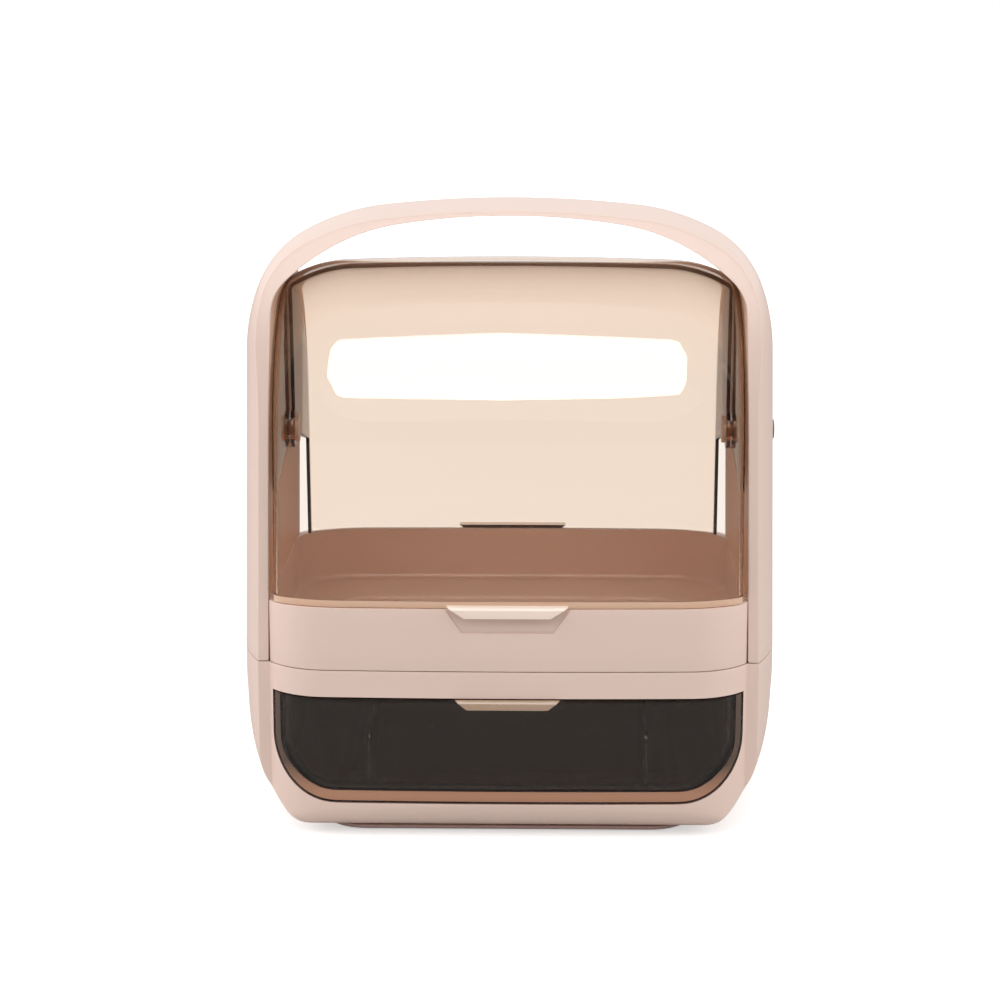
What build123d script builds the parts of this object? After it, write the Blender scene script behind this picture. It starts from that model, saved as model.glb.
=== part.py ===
from build123d import *
import math
import os

os.makedirs("parts", exist_ok=True)

# Cosmetic organizer box: a housing with one drawer, an open display tray above it, two clear covers
# that turn on one cross axis, and an arch that carries the covers and is the handle.
# Millimetres. X is the width, the front faces -Y, Z is up and zero is where the pads stand.

# Whole box
half_width = 133.4        # widest point of the bulging sides, at the seam
side_lean = 1.2           # degrees that the sides lean in from the seam upwards
arch_top = 301.2          # crest of the handle
seam_z = 84.0             # joint between the lower housing and the upper half
tray_rim_z = 114.7        # top of the tray, where the covers rest
pivot_drop = 115.2        # from the crest of the handle down to the cross axis of both covers
pivot_z = arch_top - pivot_drop

# Surfaces that several pieces share
crown_radius = 420.0      # swell of the side and handle surfaces, front to back
crown_half_depth = 39.0   # beyond this the swell rounds off more tightly
crown_edge_radius = 115.0
frame_half_depth = 76.0   # flat front and back faces of the arch
handle_half_depth = 39.0  # the same faces at the crest of the handle
narrowing_rise = 9.0      # above the pivot axis the arch starts to grow narrower
narrowing_start_z = pivot_z + narrowing_rise
bow_depth = 94.0          # middle of the bowed front and back
bow_radius = 2250.0       # nearly flat middle of the bow
arch_face_width = 17.4    # flat face and swell of the arch beside the bow, at the seam
bow_half_width = half_width - arch_face_width
bow_corner_run = 28.0     # width of each rounded end of the bow

# Running and seating clearances
seam_gap = 0.3            # between mouldings that sit on each other
seat_gap = 0.3            # under a closed cover
pin_clearance = 0.05      # radial, where a cover turns on its pin
screw_clearance = 0.05    # radial, round a screw in its hole
drawer_gap = 0.6          # round the drawer in its opening
side_gap = 0.5            # between a fitted plate and its frame

# Lower housing
housing_bottom_z = 3.2
housing_wall = 2.6
housing_edge_radius = 16.0  # rolled lower edge, front and back
deck_bottom_z = 74.4
deck_thickness = 2.5
corner_turns = [(26.7, 49.1), (125.7, 61.4), (68.4, 90.0 - side_lean)]   # radius and end heading of each arc

# Drawer opening, a wide D with round lower corners
opening_side_margin = 1.6   # housing left beside the opening at the end of the bow
opening_half_width = bow_half_width - opening_side_margin
opening_bottom_z = 17.6
opening_top_z = 70.8
opening_corner_radius = 32.0
opening_start_y = 60.0      # the opening is cut through everything ahead of this

# Drawer
drawer_wall = 2.6
drawer_front_wall = 3.2
drawer_floor = 2.6
drawer_setback = 22.0       # from the back of the box to the back of the drawer
drawer_back_y = bow_depth - drawer_setback
drawer_travel = 115.0
divider_x = 67.0
divider_thickness = 1.6
divider_height = 31.5
divider_top_radius = 5.0
divider_front_gap = 1.6
divider_slot_gap = 0.15
divider_rib = 1.4           # moulded ribs that hold a divider
divider_rib_rise = 1.2      # ribs along the floor
divider_rib_run = 3.0       # ribs up the back wall
rail_inset = 51.4           # from the widest point of the sides to the middle of a rail
rail_x = half_width - rail_inset
rail_width = 6.0
rail_half_length = 66.0
stop_x = 45.0
stop_width = 10.0
stop_length = 7.0
stop_overlap = 2.0          # how far a drawer lug reaches down behind its stop
lug_drop = 2.8              # lug under the edge of the opening
rail_gap = 0.15             # between the drawer and its rails
lug_length = 3.0
lug_inset = 8.0             # from the back of the drawer to the middle of a lug
stop_play = 0.5             # between lug and stop at full travel

# Pull tabs, trapezoids in the front view
cover_tab_width = 58.0
cover_tab_foot_width = 41.0
cover_tab_drop = 5.4
drawer_tab_width = 50.0
drawer_tab_foot_width = 39.0
drawer_tab_drop = 4.4
tab_thickness = 1.4
tab_stand = 3.0           # how far a tab stands out from the bowed front
tab_shoulder = 1.2        # slope where a tab turns down

# Tray
tray_floor_z = 87.3
tray_recess_depth = 1.5
tray_recess_half_width = 90.0
tray_recess_half_depth = 43.0
tray_recess_corner = 20.0
tray_front_wall = 8.0     # wide rim that the covers rest on
tray_corner_wall = 14.0   # the same at the ends of the bow
tray_cavity_half_width = bow_half_width
tray_cavity_depth = bow_depth - tray_front_wall
tray_cavity_end_y = frame_half_depth - tray_corner_wall
tray_side_wall = 1.8
tray_side_setback = 4.0   # side walls end this far behind the arch faces
tray_side_half_depth = frame_half_depth - tray_side_setback
scoop_width = 60.0
scoop_foot_width = 44.0
scoop_height = 11.5
scoop_depth = 1.4

# Arch
arch_wall = 2.2
arch_first_heading = 6.3
arch_turns = [(107.0, 28.5), (45.0, 69.5), (88.0, 90.0 - side_lean)]   # after the long top arc
liner_lean = 1.0
arch_side_depth = 16.9    # from the liner's face to the outside, at the seam
liner_half_width = half_width - arch_side_depth
handle_depth = 3.9        # the same at the crest
liner_top = arch_top - handle_depth
liner_thickness = 1.2
liner_first_heading = 8.6
liner_turns = [(98.5, 43.5), (20.5, 90.0 - liner_lean)]
sweep_depth = 18.0        # thickness of the swept arch before it is hollowed
sweep_margin = 4.0        # how far its section runs past the flat faces

# Covers
cover_wall = 1.8
cover_nest_gap = 0.6      # between the outer front cover and the inner rear one
cover_side_room = 3.1     # between a cheek and the liner, at the seam
cover_half_width = liner_half_width - cover_side_room
cover_setback = 7.0       # from the bowed front in to the panel, level with the pivot
cover_radius = bow_depth - cover_setback
cover_bow = 11.7          # from the middle of the panel back to the cheeks
cover_cheek_radius = cover_radius - cover_bow
cover_corner_run = 32.5   # width of each rounded end of the panel
cover_corner_fillet = 7.0
cover_flare = 4.0         # degrees that the straight skirt leans outwards
front_overlap = 2.0       # degrees past the top
rear_overlap = 5.0
cheek_drop = 23.0         # from the pivot axis to the lower end of a cheek at the panel
cheek_foot_z = pivot_z - cheek_drop
cheek_return = 8.0        # width of the side return under the cheek
hub_radius = 10.0
hub_cut_drop = 6.0        # the cheeks end this far under the pivot axis
swing_gap = 0.5           # between a swinging cover and the arch

# Pivots
pin_radius = 4.0
pin_head_radius = 7.0
pin_head_thickness = 1.8
spacer_radius = 7.5
boss_radius = 8.0
boss_length = 6.5
pin_tip = 1.5             # pin past its clip
clip_radius = 6.5
clip_thickness = 1.0
clip_groove_depth = 0.8
clip_play = 0.05
clip_grip = 0.3           # each side, how much narrower the slot is than the groove
cap_radius = 5.5
cap_height = 1.9
cap_chamfer = 0.9
cap_stem_radius = 3.0
cap_stem_length = 4.5

# Foot plate, pads and screws
foot_side_inset = 40.4    # from the widest point of the sides to the plate
foot_front_inset = 10.5   # from the bowed front to the plate
foot_top_half = (half_width - foot_side_inset, bow_depth - foot_front_inset)
foot_bottom_inset = 3.0
foot_corner_radius = 24.0
foot_gap = 0.05           # under the housing
foot_bottom_z = 0.6
pad_radius = 8.0
pad_recess = 1.2
pad_inset = (21.0, 18.0)  # from the edges of the plate to the middle of a pad
pad_place = (foot_top_half[0] - pad_inset[0], foot_top_half[1] - pad_inset[1])
base_screw_inset = 18.0   # from the front and back edges of the plate
base_screw_place = (44.0, foot_top_half[1] - base_screw_inset)
screw_radius = 1.5
screw_head_radius = 2.9
screw_head_height = 1.5
screw_post_radius = 4.0
tray_screw_place = (84.0, 58.0)
arch_screw_inset = 9.9    # from the widest point of the sides
arch_screw_place = (half_width - arch_screw_inset, 24.0)
arch_post_height = 14.0
post_web = 2.0            # rib between a screw post and the side wall
screw_bite = 9.0          # how far the arch screws reach above the seam
tray_screw_bite = 1.6     # and the tray screws
screw_end_gap = 0.4       # under the end of a screw hole
base_post_height = 3.9    # posts on the housing floor
post_roof = 1.5           # left over the end of a base screw hole
head_recess_gap = 0.2     # round a screw head in its recess
screw_slot_width = 0.7
screw_slot_depth = 0.5
cut_margin = 20.0         # how far cutting shapes run past what they cut
cut_size = 400.0          # wider than the whole box


on_floor = (Align.CENTER, Align.CENTER, Align.MIN)


def arc_chain(start, heading, turns):
    """Arcs tangent to one another from start; each turn is a radius and the heading where it ends."""
    x, y = start
    arcs = []
    for radius, end_heading in turns:
        side = 1 if end_heading > heading else -1
        cx = x - side * radius * math.sin(math.radians(heading))
        cy = y + side * radius * math.cos(math.radians(heading))
        arcs.append(CenterArc((cx, cy), radius, heading - side * 90, end_heading - heading))
        x = cx + side * radius * math.sin(math.radians(end_heading))
        y = cy - side * radius * math.cos(math.radians(end_heading))
        heading = end_heading
    return arcs, (x, y)


def chain_reach(heading, turns):
    """How far across and down a chain of arcs goes, from a level or leaning start."""
    across, down = 0.0, 0.0
    for radius, end_heading in turns:
        across += radius * (math.sin(math.radians(end_heading)) - math.sin(math.radians(heading)))
        down += radius * (math.cos(math.radians(heading)) - math.cos(math.radians(end_heading)))
        heading = end_heading
    return across, down


def both_halves(edges):
    """The edges and their mirror images about X = 0."""
    return edges + [edge.mirror(Plane.YZ) for edge in edges]


def region(edges, plane):
    """A face bounded by the edges, laid on a plane."""
    return plane * make_face(Wire(edges))


def prism(face, start, end):
    """A face of the front view carried forwards, from start to end ahead of the middle."""
    return extrude(Pos(0, -start, 0) * face, amount=end - start, dir=(0, -1, 0))


def cylinder_x(radius, x_start, x_end, y=0.0, z=pivot_z):
    middle = (x_start + x_end) / 2
    return Pos(middle, y, z) * Rot(0, 90, 0) * Cylinder(radius, abs(x_end - x_start))


def cylinder_z(radius, x, y, z_start, z_end):
    return Pos(x, y, (z_start + z_end) / 2) * Cylinder(radius, z_end - z_start)


def four_corners(place):
    return [(sx * place[0], sy * place[1]) for sx in (-1, 1) for sy in (-1, 1)]


def bow_edges(edge_half_width, depth, end_y, inset=0.0, corner_run=bow_corner_run):
    """Half of a bowed front in plan: a long flat arc and a rounded end, from x = 0 outwards."""
    radius = bow_radius - inset
    corner_x = edge_half_width - corner_run
    corner_drop = radius - math.sqrt(radius**2 - corner_x**2)
    corner_point = (corner_x, -(depth - corner_drop))
    heading = math.asin(corner_x / radius)
    tangent = (math.cos(heading), math.sin(heading))
    middle_x = corner_x / 2
    middle_drop = radius - math.sqrt(radius**2 - middle_x**2)
    long_arc = ThreePointArc((0, -depth), (middle_x, -(depth - middle_drop)), corner_point)
    end_arc = TangentArc(corner_point, (edge_half_width, -end_y), tangent=tangent)
    return [long_arc, end_arc]


def bowed_plan(edge_half_width, depth, end_y, inset=0.0):
    """Plan face with a bowed front and back and straight sides."""
    front = bow_edges(edge_half_width, depth, end_y, inset)
    back = [edge.mirror(Plane.XZ) for edge in front]
    side = Line((edge_half_width, -end_y), (edge_half_width, end_y))
    return region(both_halves(front + back + [side]), Plane.XY)


def crown_edges(side_x, end_y, inset):
    """Swell of a side, seen from above, from the front edge over the middle to the back edge."""
    middle_turn = math.degrees(math.asin(crown_half_depth / crown_radius))
    middle_y = (crown_radius - inset) * math.sin(math.radians(middle_turn))
    edge_radius = crown_edge_radius - inset
    edge_turn = math.degrees(math.asin(math.sin(math.radians(middle_turn)) + (end_y - middle_y) / edge_radius))
    turns = [(crown_radius - inset, 90.0 + middle_turn), (edge_radius, 90.0 + edge_turn)]
    arcs, end = arc_chain((side_x, 0), 90.0, turns)
    return arcs + [arc.mirror(Plane.XZ) for arc in arcs], end[0]


def box_plan(inset=0.0):
    """Plan of the whole box: bowed front and back, flat arch faces and bulging sides."""
    front = bow_edges(bow_half_width - inset, bow_depth - inset, frame_half_depth - inset, inset)
    face_y = frame_half_depth - inset
    side, corner_x = crown_edges(half_width - inset, face_y, inset)
    face = Line((bow_half_width - inset, -face_y), (corner_x, -face_y))
    ends = front + [face]
    return region(both_halves(ends + [edge.mirror(Plane.XZ) for edge in ends] + side), Plane.XY)


def arch_profile(width, top, first_heading, turns):
    """Front view under an arch: a long top arc, tighter shoulder arcs and a leaning leg to the seam."""
    across, down = chain_reach(first_heading, turns)
    lean = math.tan(math.radians(90.0 - turns[-1][1]))
    heading = math.radians(first_heading)
    leg_run = (top - down - seam_z) * lean
    top_radius = (width - across - leg_run) / (math.sin(heading) - (1 - math.cos(heading)) * lean)
    headed = [(radius, -end_heading) for radius, end_heading in [(top_radius, first_heading)] + turns]
    arcs, end = arc_chain((0, top), 0.0, headed)
    return arcs, Line(end, (width, seam_z))


def side_x(width, lean, z):
    """Half width of a leaning side at a height above the seam."""
    return width - (z - seam_z) * math.tan(math.radians(lean))


def arch_region(inset):
    """Front view of the space under the arch, or of that space shrunk by an inset."""
    turns = [(radius - inset, heading) for radius, heading in liner_turns]
    width = liner_half_width - inset / math.cos(math.radians(liner_lean))
    arcs, leg = arch_profile(width, liner_top - inset, liner_first_heading, turns)
    leg_end = leg @ 1
    low = Line(leg_end, (leg_end.X, seam_z - cut_margin))
    foot = Line(low @ 1, (0, seam_z - cut_margin))
    return region(both_halves(arcs + [leg, low, foot]), Plane.XZ)


def arch_sweep(inset):
    """The crowned arch before trimming: its cross-section carried up one side, over and down."""
    arcs, leg = arch_profile(half_width, arch_top, arch_first_heading, arch_turns)
    path = Plane.XZ * Wire(both_halves(arcs + [leg]))
    half_depth = frame_half_depth + sweep_margin
    crown, edge_x = crown_edges(half_width - inset, half_depth, inset)
    inner_x = half_width - sweep_depth
    back = Polyline((edge_x, half_depth), (inner_x, half_depth), (inner_x, -half_depth), (edge_x, -half_depth))
    section = Pos(0, 0, seam_z) * make_face(Wire(crown + back.edges()))
    upright = section.rotate(Axis((half_width, 0, seam_z), (0, 1, 0)), -side_lean)
    return sweep(upright, path=path)


def arch_side_region(inset):
    """Side view of the arch: full depth low down, narrower towards the handle."""
    rise = arch_top - narrowing_start_z
    taper = frame_half_depth - handle_half_depth
    lean = 2 * math.degrees(math.atan2(taper, rise))
    radius = rise / math.sin(math.radians(lean))
    start = (frame_half_depth - inset, narrowing_start_z)
    arcs, end = arc_chain(start, 90.0, [(radius - inset, 90.0 + lean)])
    low = Line((start[0], seam_z - cut_margin), start)
    high = Line(end, (end[0], arch_top + cut_margin))
    top = Line(high @ 1, (0, arch_top + cut_margin))
    bottom = Line((0, seam_z - cut_margin), low @ 0)
    edges = [low] + arcs + [high, top, bottom]
    mirrored = [edge.mirror(Plane.YZ) for edge in edges]
    return region(edges + mirrored, Plane.YZ)


def trapezoid(top_width, foot_width, top_z, foot_z):
    corners = [
        (-top_width / 2, top_z),
        (-foot_width / 2, foot_z),
        (foot_width / 2, foot_z),
        (top_width / 2, top_z),
    ]
    return Plane.XZ * make_face(Polyline(*corners, close=True))


def pull_tab(top_width, foot_width, top_z, root_y, drop):
    """A lip that runs out from a panel and turns down, cut to a trapezoid in the front view."""
    outer_y = bow_depth + tab_stand
    shoulder_z = top_z - tab_shoulder
    profile = [
        (-root_y, top_z),
        (-(outer_y - tab_shoulder), top_z),
        (-outer_y, shoulder_z),
        (-outer_y, top_z - drop),
        (-(outer_y - tab_thickness), top_z - drop),
        (-(outer_y - tab_thickness), top_z - tab_thickness),
        (-root_y, top_z - tab_thickness),
    ]
    lip = extrude(Plane.YZ * make_face(Polyline(*profile, close=True)), amount=top_width / 2, both=True)
    outline = prism(trapezoid(top_width, foot_width, top_z, top_z - drop), 0, bow_depth + cut_margin)
    return lip & outline


def cover_section(inset):
    """Half-plane section of a cover through its axis: cheeks at the ends, the bowed panel outside."""
    cheek_x = cover_half_width - inset
    cheek_y = cover_cheek_radius - inset
    half = bow_edges(cheek_x, cover_radius - inset, cheek_y, inset, cover_corner_run)
    half.append(Line((cheek_x, -cheek_y), (cheek_x, 0)))
    axis_line = Line((cheek_x, 0), (-cheek_x, 0))
    face = make_face(Wire(half + [edge.mirror(Plane.YZ) for edge in half] + [axis_line]))
    corner = [v for v in face.vertices() if abs(abs(v.X) - cheek_x) < 0.01 and v.Y < -cheek_y / 2]
    return fillet(corner, cover_corner_fillet - inset)


# Arch: shell and liner
def under_liner(inset):
    """Everything under the arch and in the way of the covers, out to the liner's face less an inset."""
    face = arch_region(inset)
    swing = Pos(0, 0, pivot_z) * revolve(cover_section(inset - swing_gap), axis=Axis.X)
    return extrude(face, amount=frame_half_depth + cut_margin, both=True) + swing


def arch_depth(inset):
    return extrude(arch_side_region(inset), amount=half_width + cut_margin, both=True)


def below(height):
    """A block that cuts away everything under a height."""
    return Pos(0, 0, height - cut_size / 2) * Box(cut_size, cut_size, cut_size)


def arch_posts():
    """Screw posts inside the feet of the arch, each with a web to the side wall."""
    posts = []
    foot_z = deck_bottom_z + deck_thickness + seam_gap
    for x, y in four_corners(arch_screw_place):
        posts.append(cylinder_z(screw_post_radius, x, y, foot_z, seam_z + arch_post_height))
        web = Pos(x, y, seam_z + arch_post_height / 2) * Box(sweep_depth, post_web, arch_post_height)
        posts.append((web & arch_envelope) - under_liner(-2 * liner_thickness) - below(seam_z + seam_gap))
    return posts


boss_end = side_x(liner_half_width, liner_lean, pivot_z) + liner_thickness / 2 + boss_length
arch_envelope = arch_sweep(0.0) & arch_depth(0.0)
arch_hollow = arch_sweep(arch_wall) & arch_depth(arch_wall)
liner_pocket = under_liner(-(liner_thickness + seam_gap)) & arch_depth(arch_wall)
arch_shell = arch_envelope - (arch_hollow + liner_pocket)
for side in (-1, 1):
    arch_shell -= cylinder_x(cap_stem_radius + screw_clearance, side * boss_end, side * (half_width + cut_margin))
arch_shell = arch_shell - under_liner(0.0) - below(seam_z + seam_gap)
arch_shell += arch_posts()
for x, y in four_corners(arch_screw_place):
    arch_shell -= cylinder_z(screw_radius + screw_clearance, x, y, 0, seam_z + screw_bite)

liner_rest = tray_rim_z + seam_gap
arch_liner = (under_liner(-liner_thickness) - under_liner(0.0)) & arch_depth(arch_wall + side_gap)
arch_liner -= below(liner_rest)
for side in (-1, 1):
    arch_liner += cylinder_x(boss_radius, side * (boss_end - boss_length), side * boss_end)
for side in (-1, 1):
    arch_liner -= cylinder_x(pin_radius + pin_clearance, side * cover_half_width, side * half_width)

# Pivots, one set on each side
def pivot_set(side):
    """Pin, spacer, clip and cap for the right (1) or left (-1) side."""
    cheek_inner_x = cover_half_width - 2 * cover_wall - cover_nest_gap
    head_end = cheek_inner_x - seat_gap
    head_start = head_end - pin_head_thickness
    clip_start = boss_end + seam_gap
    pin_end = clip_start + clip_thickness + pin_tip
    pin = cylinder_x(pin_radius, side * head_end, side * pin_end)
    pin += cylinder_x(pin_head_radius, side * head_start, side * head_end)
    groove_radius = pin_radius - clip_groove_depth
    groove = cylinder_x(boss_radius, side * clip_start, side * (clip_start + clip_thickness))
    pin -= groove - cylinder_x(groove_radius, side * head_end, side * pin_end)
    spacer_start = cover_half_width + seat_gap
    spacer_end = side_x(liner_half_width, liner_lean, pivot_z + spacer_radius) - pin_clearance
    spacer = cylinder_x(spacer_radius, side * spacer_start, side * spacer_end)
    spacer -= cylinder_x(pin_radius + pin_clearance, side * head_end, side * pin_end)
    clip_end = clip_start + clip_thickness - clip_play
    clip = cylinder_x(clip_radius, side * (clip_start + clip_play), side * clip_end)
    clip -= cylinder_x(groove_radius + clip_play, side * head_end, side * pin_end)
    slot_middle = (side * clip_end, 0, pivot_z - clip_radius)
    clip -= Pos(*slot_middle) * Box(4 * clip_thickness, 2 * (groove_radius - clip_grip), 2 * clip_radius)
    cap_seat = side_x(half_width, side_lean, pivot_z - cap_radius) + screw_clearance
    dome = cylinder_x(cap_radius, side * cap_seat, side * (cap_seat + cap_height))
    rim = dome.edges().filter_by(GeomType.CIRCLE).sort_by(Axis.X)
    dome = chamfer(rim[-1] if side > 0 else rim[0], cap_chamfer)
    cap = dome + cylinder_x(cap_stem_radius, side * (cap_seat - cap_stem_length), side * cap_seat)
    return pin, spacer, clip, cap


# Covers
def cover_body(inset, overlap):
    """Solid outline of a cover that opens to the front: turned above its axis, straight below it."""
    section = cover_section(inset)
    turned = revolve(section.rotate(Axis.X, -(90 + overlap)), axis=Axis.X, revolution_arc=90 + overlap)
    skirt = extrude(section, amount=pivot_z - liner_rest + cut_margin, dir=(0, 0, -1))
    return Pos(0, 0, pivot_z) * (turned + skirt)


def cheek_cut():
    """What is open below the cheeks: everything behind the panel's own side return."""
    return_y = -(cover_cheek_radius - cheek_return)
    outline = Polyline(
        (cover_radius, 0),
        (return_y, 0),
        (return_y, cheek_foot_z),
        (-hub_radius, pivot_z - hub_cut_drop),
        (cover_radius, pivot_z - hub_cut_drop),
        close=True,
    )
    return extrude(Plane.YZ * make_face(outline), amount=half_width, both=True)


def make_cover(inset, overlap):
    """One cover that opens to the front, with hubs, pin holes and its pull tab."""
    inner = inset + cover_wall
    cover = cover_body(inset, overlap - cover_flare) - cover_body(inner, overlap + cut_margin)
    cheek_x = cover_half_width - inset
    for side in (-1, 1):
        cover += cylinder_x(hub_radius, side * (cheek_x - cover_wall), side * cheek_x)
    cover -= cheek_cut() - cylinder_x(hub_radius, -half_width, half_width)
    for side in (-1, 1):
        cover -= cylinder_x(pin_radius + pin_clearance, side * (cheek_x - 2 * cover_wall), side * half_width)
    cover = cover.rotate(Axis((0, 0, pivot_z), (1, 0, 0)), -cover_flare) - below(liner_rest)
    flare = math.radians(cover_flare)
    rim_y = (cover_radius - inset + (pivot_z - liner_rest) * math.sin(flare)) / math.cos(flare)
    tab_top_z = liner_rest + tab_thickness
    tab = pull_tab(cover_tab_width, cover_tab_foot_width, tab_top_z, rim_y - cover_wall / 2, cover_tab_drop)
    return cover + tab


nest = cover_wall + cover_nest_gap
front_cover = make_cover(0.0, front_overlap)
rear_cover = make_cover(nest, rear_overlap).mirror(Plane.XZ)

# Lower housing
def front_region(inset):
    """Front view of the housing: round lower corners that run up into the leaning sides."""
    across, rise = chain_reach(0.0, corner_turns)
    lean = math.tan(math.radians(side_lean))
    bottom_x = half_width - across - (seam_z - housing_bottom_z - rise) * lean
    low = housing_bottom_z + inset
    inset_turns = [(radius - inset, heading) for radius, heading in corner_turns]
    arcs, end = arc_chain((bottom_x, low), 0.0, inset_turns)
    bottom = Line((0, low), (bottom_x, low))
    side = Line(end, (end[0] + (seam_z - end[1]) * lean, seam_z))
    above = Line(side @ 1, ((side @ 1).X, seam_z + cut_margin))
    top = Line(above @ 1, (0, seam_z + cut_margin))
    return region(both_halves([bottom] + arcs + [side, above, top]), Plane.XZ)


def side_region(inset):
    """Side view of the housing, with its lower edges rolled under."""
    height = seam_z + cut_margin - housing_bottom_z - inset
    middle_z = housing_bottom_z + inset + height / 2
    box = Pos(0, middle_z) * Rectangle(2 * (bow_depth - inset), height)
    low = [v for v in box.vertices() if v.Y < middle_z]
    return Plane.YZ * fillet(low, housing_edge_radius - inset)


def housing_solid(inset):
    column = extrude(box_plan(inset), amount=seam_z + cut_margin)
    front = extrude(front_region(inset), amount=bow_depth + cut_margin, both=True)
    ends = extrude(side_region(inset), amount=half_width + cut_margin, both=True)
    return column & front & ends


def opening_face(gap):
    """Front view of the drawer opening, shrunk by a gap."""
    low = opening_bottom_z + gap
    high = opening_top_z - gap
    middle_z = (low + high) / 2
    box = Pos(0, middle_z) * Rectangle(2 * (opening_half_width - gap), high - low)
    low_corners = [v for v in box.vertices() if v.Y < middle_z]
    return Plane.XZ * fillet(low_corners, opening_corner_radius - gap)


above_seam = Pos(0, 0, seam_z + cut_size / 2) * Box(cut_size, cut_size, cut_size)
housing = housing_solid(0.0) - above_seam
hollow = housing_solid(housing_wall)
deck_layer = Pos(0, 0, deck_bottom_z + deck_thickness / 2) * Box(cut_size, cut_size, deck_thickness)
housing = housing - hollow + (hollow & deck_layer)
housing -= prism(opening_face(0.0), opening_start_y, bow_depth + cut_margin)
housing_floor_z = housing_bottom_z + housing_wall
for x, y in four_corners(tray_screw_place) + four_corners(arch_screw_place):
    housing -= cylinder_z(screw_radius + screw_clearance, x, y, deck_bottom_z - deck_thickness, seam_z)
for x, y in four_corners(base_screw_place):
    post_top = housing_floor_z + base_post_height
    housing += cylinder_z(screw_post_radius, x, y, housing_bottom_z, post_top)
    housing -= cylinder_z(screw_radius + screw_clearance, x, y, 0, post_top - post_roof)

# Foot plate, pads and the screws that hold it
foot_x, foot_y = foot_top_half
foot_top_z = housing_bottom_z - foot_gap
foot_height = foot_top_z - foot_bottom_z
foot_outline = RectangleRounded(2 * foot_x, 2 * foot_y, foot_corner_radius)
foot_taper = math.degrees(math.atan(foot_bottom_inset / foot_height))
foot_plate = Pos(0, 0, foot_top_z) * extrude(foot_outline, amount=-foot_height, taper=foot_taper)
pad_top_z = foot_bottom_z + pad_recess
for x, y in four_corners(pad_place):
    foot_plate -= cylinder_z(pad_radius + screw_clearance, x, y, 0, pad_top_z)
head_top_z = foot_bottom_z + screw_head_height
for x, y in four_corners(base_screw_place):
    foot_plate -= cylinder_z(screw_radius + screw_clearance, x, y, 0, housing_bottom_z)
    foot_plate -= cylinder_z(screw_head_radius + head_recess_gap, x, y, 0, head_top_z)
pads = [cylinder_z(pad_radius, x, y, 0, pad_top_z) for x, y in four_corners(pad_place)]


def screw(x, y, head_z, tip_z):
    """A pan-head screw from its head, below, up to its tip."""
    shank = cylinder_z(screw_radius, x, y, head_z, tip_z)
    head_foot_z = head_z - screw_head_height
    head = cylinder_z(screw_head_radius, x, y, head_foot_z, head_z)
    slot = Box(2 * screw_head_radius, screw_slot_width, 2 * screw_slot_depth)
    slot += Box(screw_slot_width, 2 * screw_head_radius, 2 * screw_slot_depth)
    return shank + head - Pos(x, y, head_foot_z) * slot


def four_screws(place, head_z, tip_z):
    return Compound([screw(x, y, head_z - screw_clearance, tip_z) for x, y in four_corners(place)])


base_tip_z = housing_floor_z + base_post_height - post_roof - screw_end_gap
base_screws = four_screws(base_screw_place, head_top_z, base_tip_z)
tray_screws = four_screws(tray_screw_place, deck_bottom_z, seam_z + tray_screw_bite - screw_end_gap)
arch_screws = four_screws(arch_screw_place, deck_bottom_z, seam_z + screw_bite - screw_end_gap)

# Upper tray
tray_bottom_z = seam_z + seam_gap
tray_height = tray_rim_z - tray_bottom_z
tray_outline = bowed_plan(bow_half_width - seam_gap, bow_depth, frame_half_depth)
side_rect = Rectangle(2 * (tray_cavity_half_width + tray_side_wall), 2 * tray_side_half_depth)
tray = Pos(0, 0, tray_bottom_z) * (
    extrude(tray_outline, amount=tray_height) + extrude(side_rect, amount=tray_height)
)
cavity = bowed_plan(tray_cavity_half_width, tray_cavity_depth, tray_cavity_end_y)
tray -= Pos(0, 0, tray_floor_z) * extrude(cavity, amount=tray_height)
recess = RectangleRounded(2 * tray_recess_half_width, 2 * tray_recess_half_depth, tray_recess_corner)
tray -= Pos(0, 0, tray_floor_z - tray_recess_depth) * extrude(recess, amount=2 * tray_recess_depth)
for x, y in four_corners(tray_screw_place):
    tray += cylinder_z(screw_post_radius, x, y, deck_bottom_z + deck_thickness + seam_gap, tray_bottom_z)
    tray -= cylinder_z(screw_radius + screw_clearance, x, y, deck_bottom_z, seam_z + tray_screw_bite)
scoop_face = trapezoid(scoop_width, scoop_foot_width, tray_rim_z, tray_rim_z - scoop_height)
scoop = prism(scoop_face, bow_depth - scoop_depth, bow_depth + cut_margin)
tray = tray - scoop - scoop.mirror(Plane.XZ)

# Drawer and its dividers
drawer_bottom_z = opening_bottom_z + drawer_gap
drawer_floor_z = drawer_bottom_z + drawer_floor


def drawer_plan(inset):
    plan = bowed_plan(bow_half_width - inset, bow_depth - inset, frame_half_depth - inset, inset)
    return extrude(plan, amount=seam_z)


front_end = bow_depth + cut_margin
drawer = prism(opening_face(drawer_gap), -drawer_back_y, front_end) & drawer_plan(0.0)
drawer_inside = prism(opening_face(drawer_gap + drawer_wall), -(drawer_back_y - drawer_wall), front_end)
drawer_inside += Pos(0, 0, 2 * drawer_wall) * drawer_inside
drawer -= drawer_inside & drawer_plan(drawer_front_wall)
divider_end_y = drawer_back_y - drawer_wall - divider_slot_gap
divider_front_y = -(bow_depth - drawer_front_wall - divider_front_gap)
divider_middle_y = (divider_end_y + divider_front_y) / 2
divider_length = divider_end_y - divider_front_y
rib_offset = divider_thickness / 2 + divider_slot_gap + divider_rib / 2
back_rib = Box(divider_rib, divider_rib_run, divider_height / 2, align=(Align.CENTER, Align.MAX, Align.MIN))
floor_rib = Box(divider_rib, divider_length - 4 * divider_rib_run, divider_rib_rise, align=on_floor)
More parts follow.
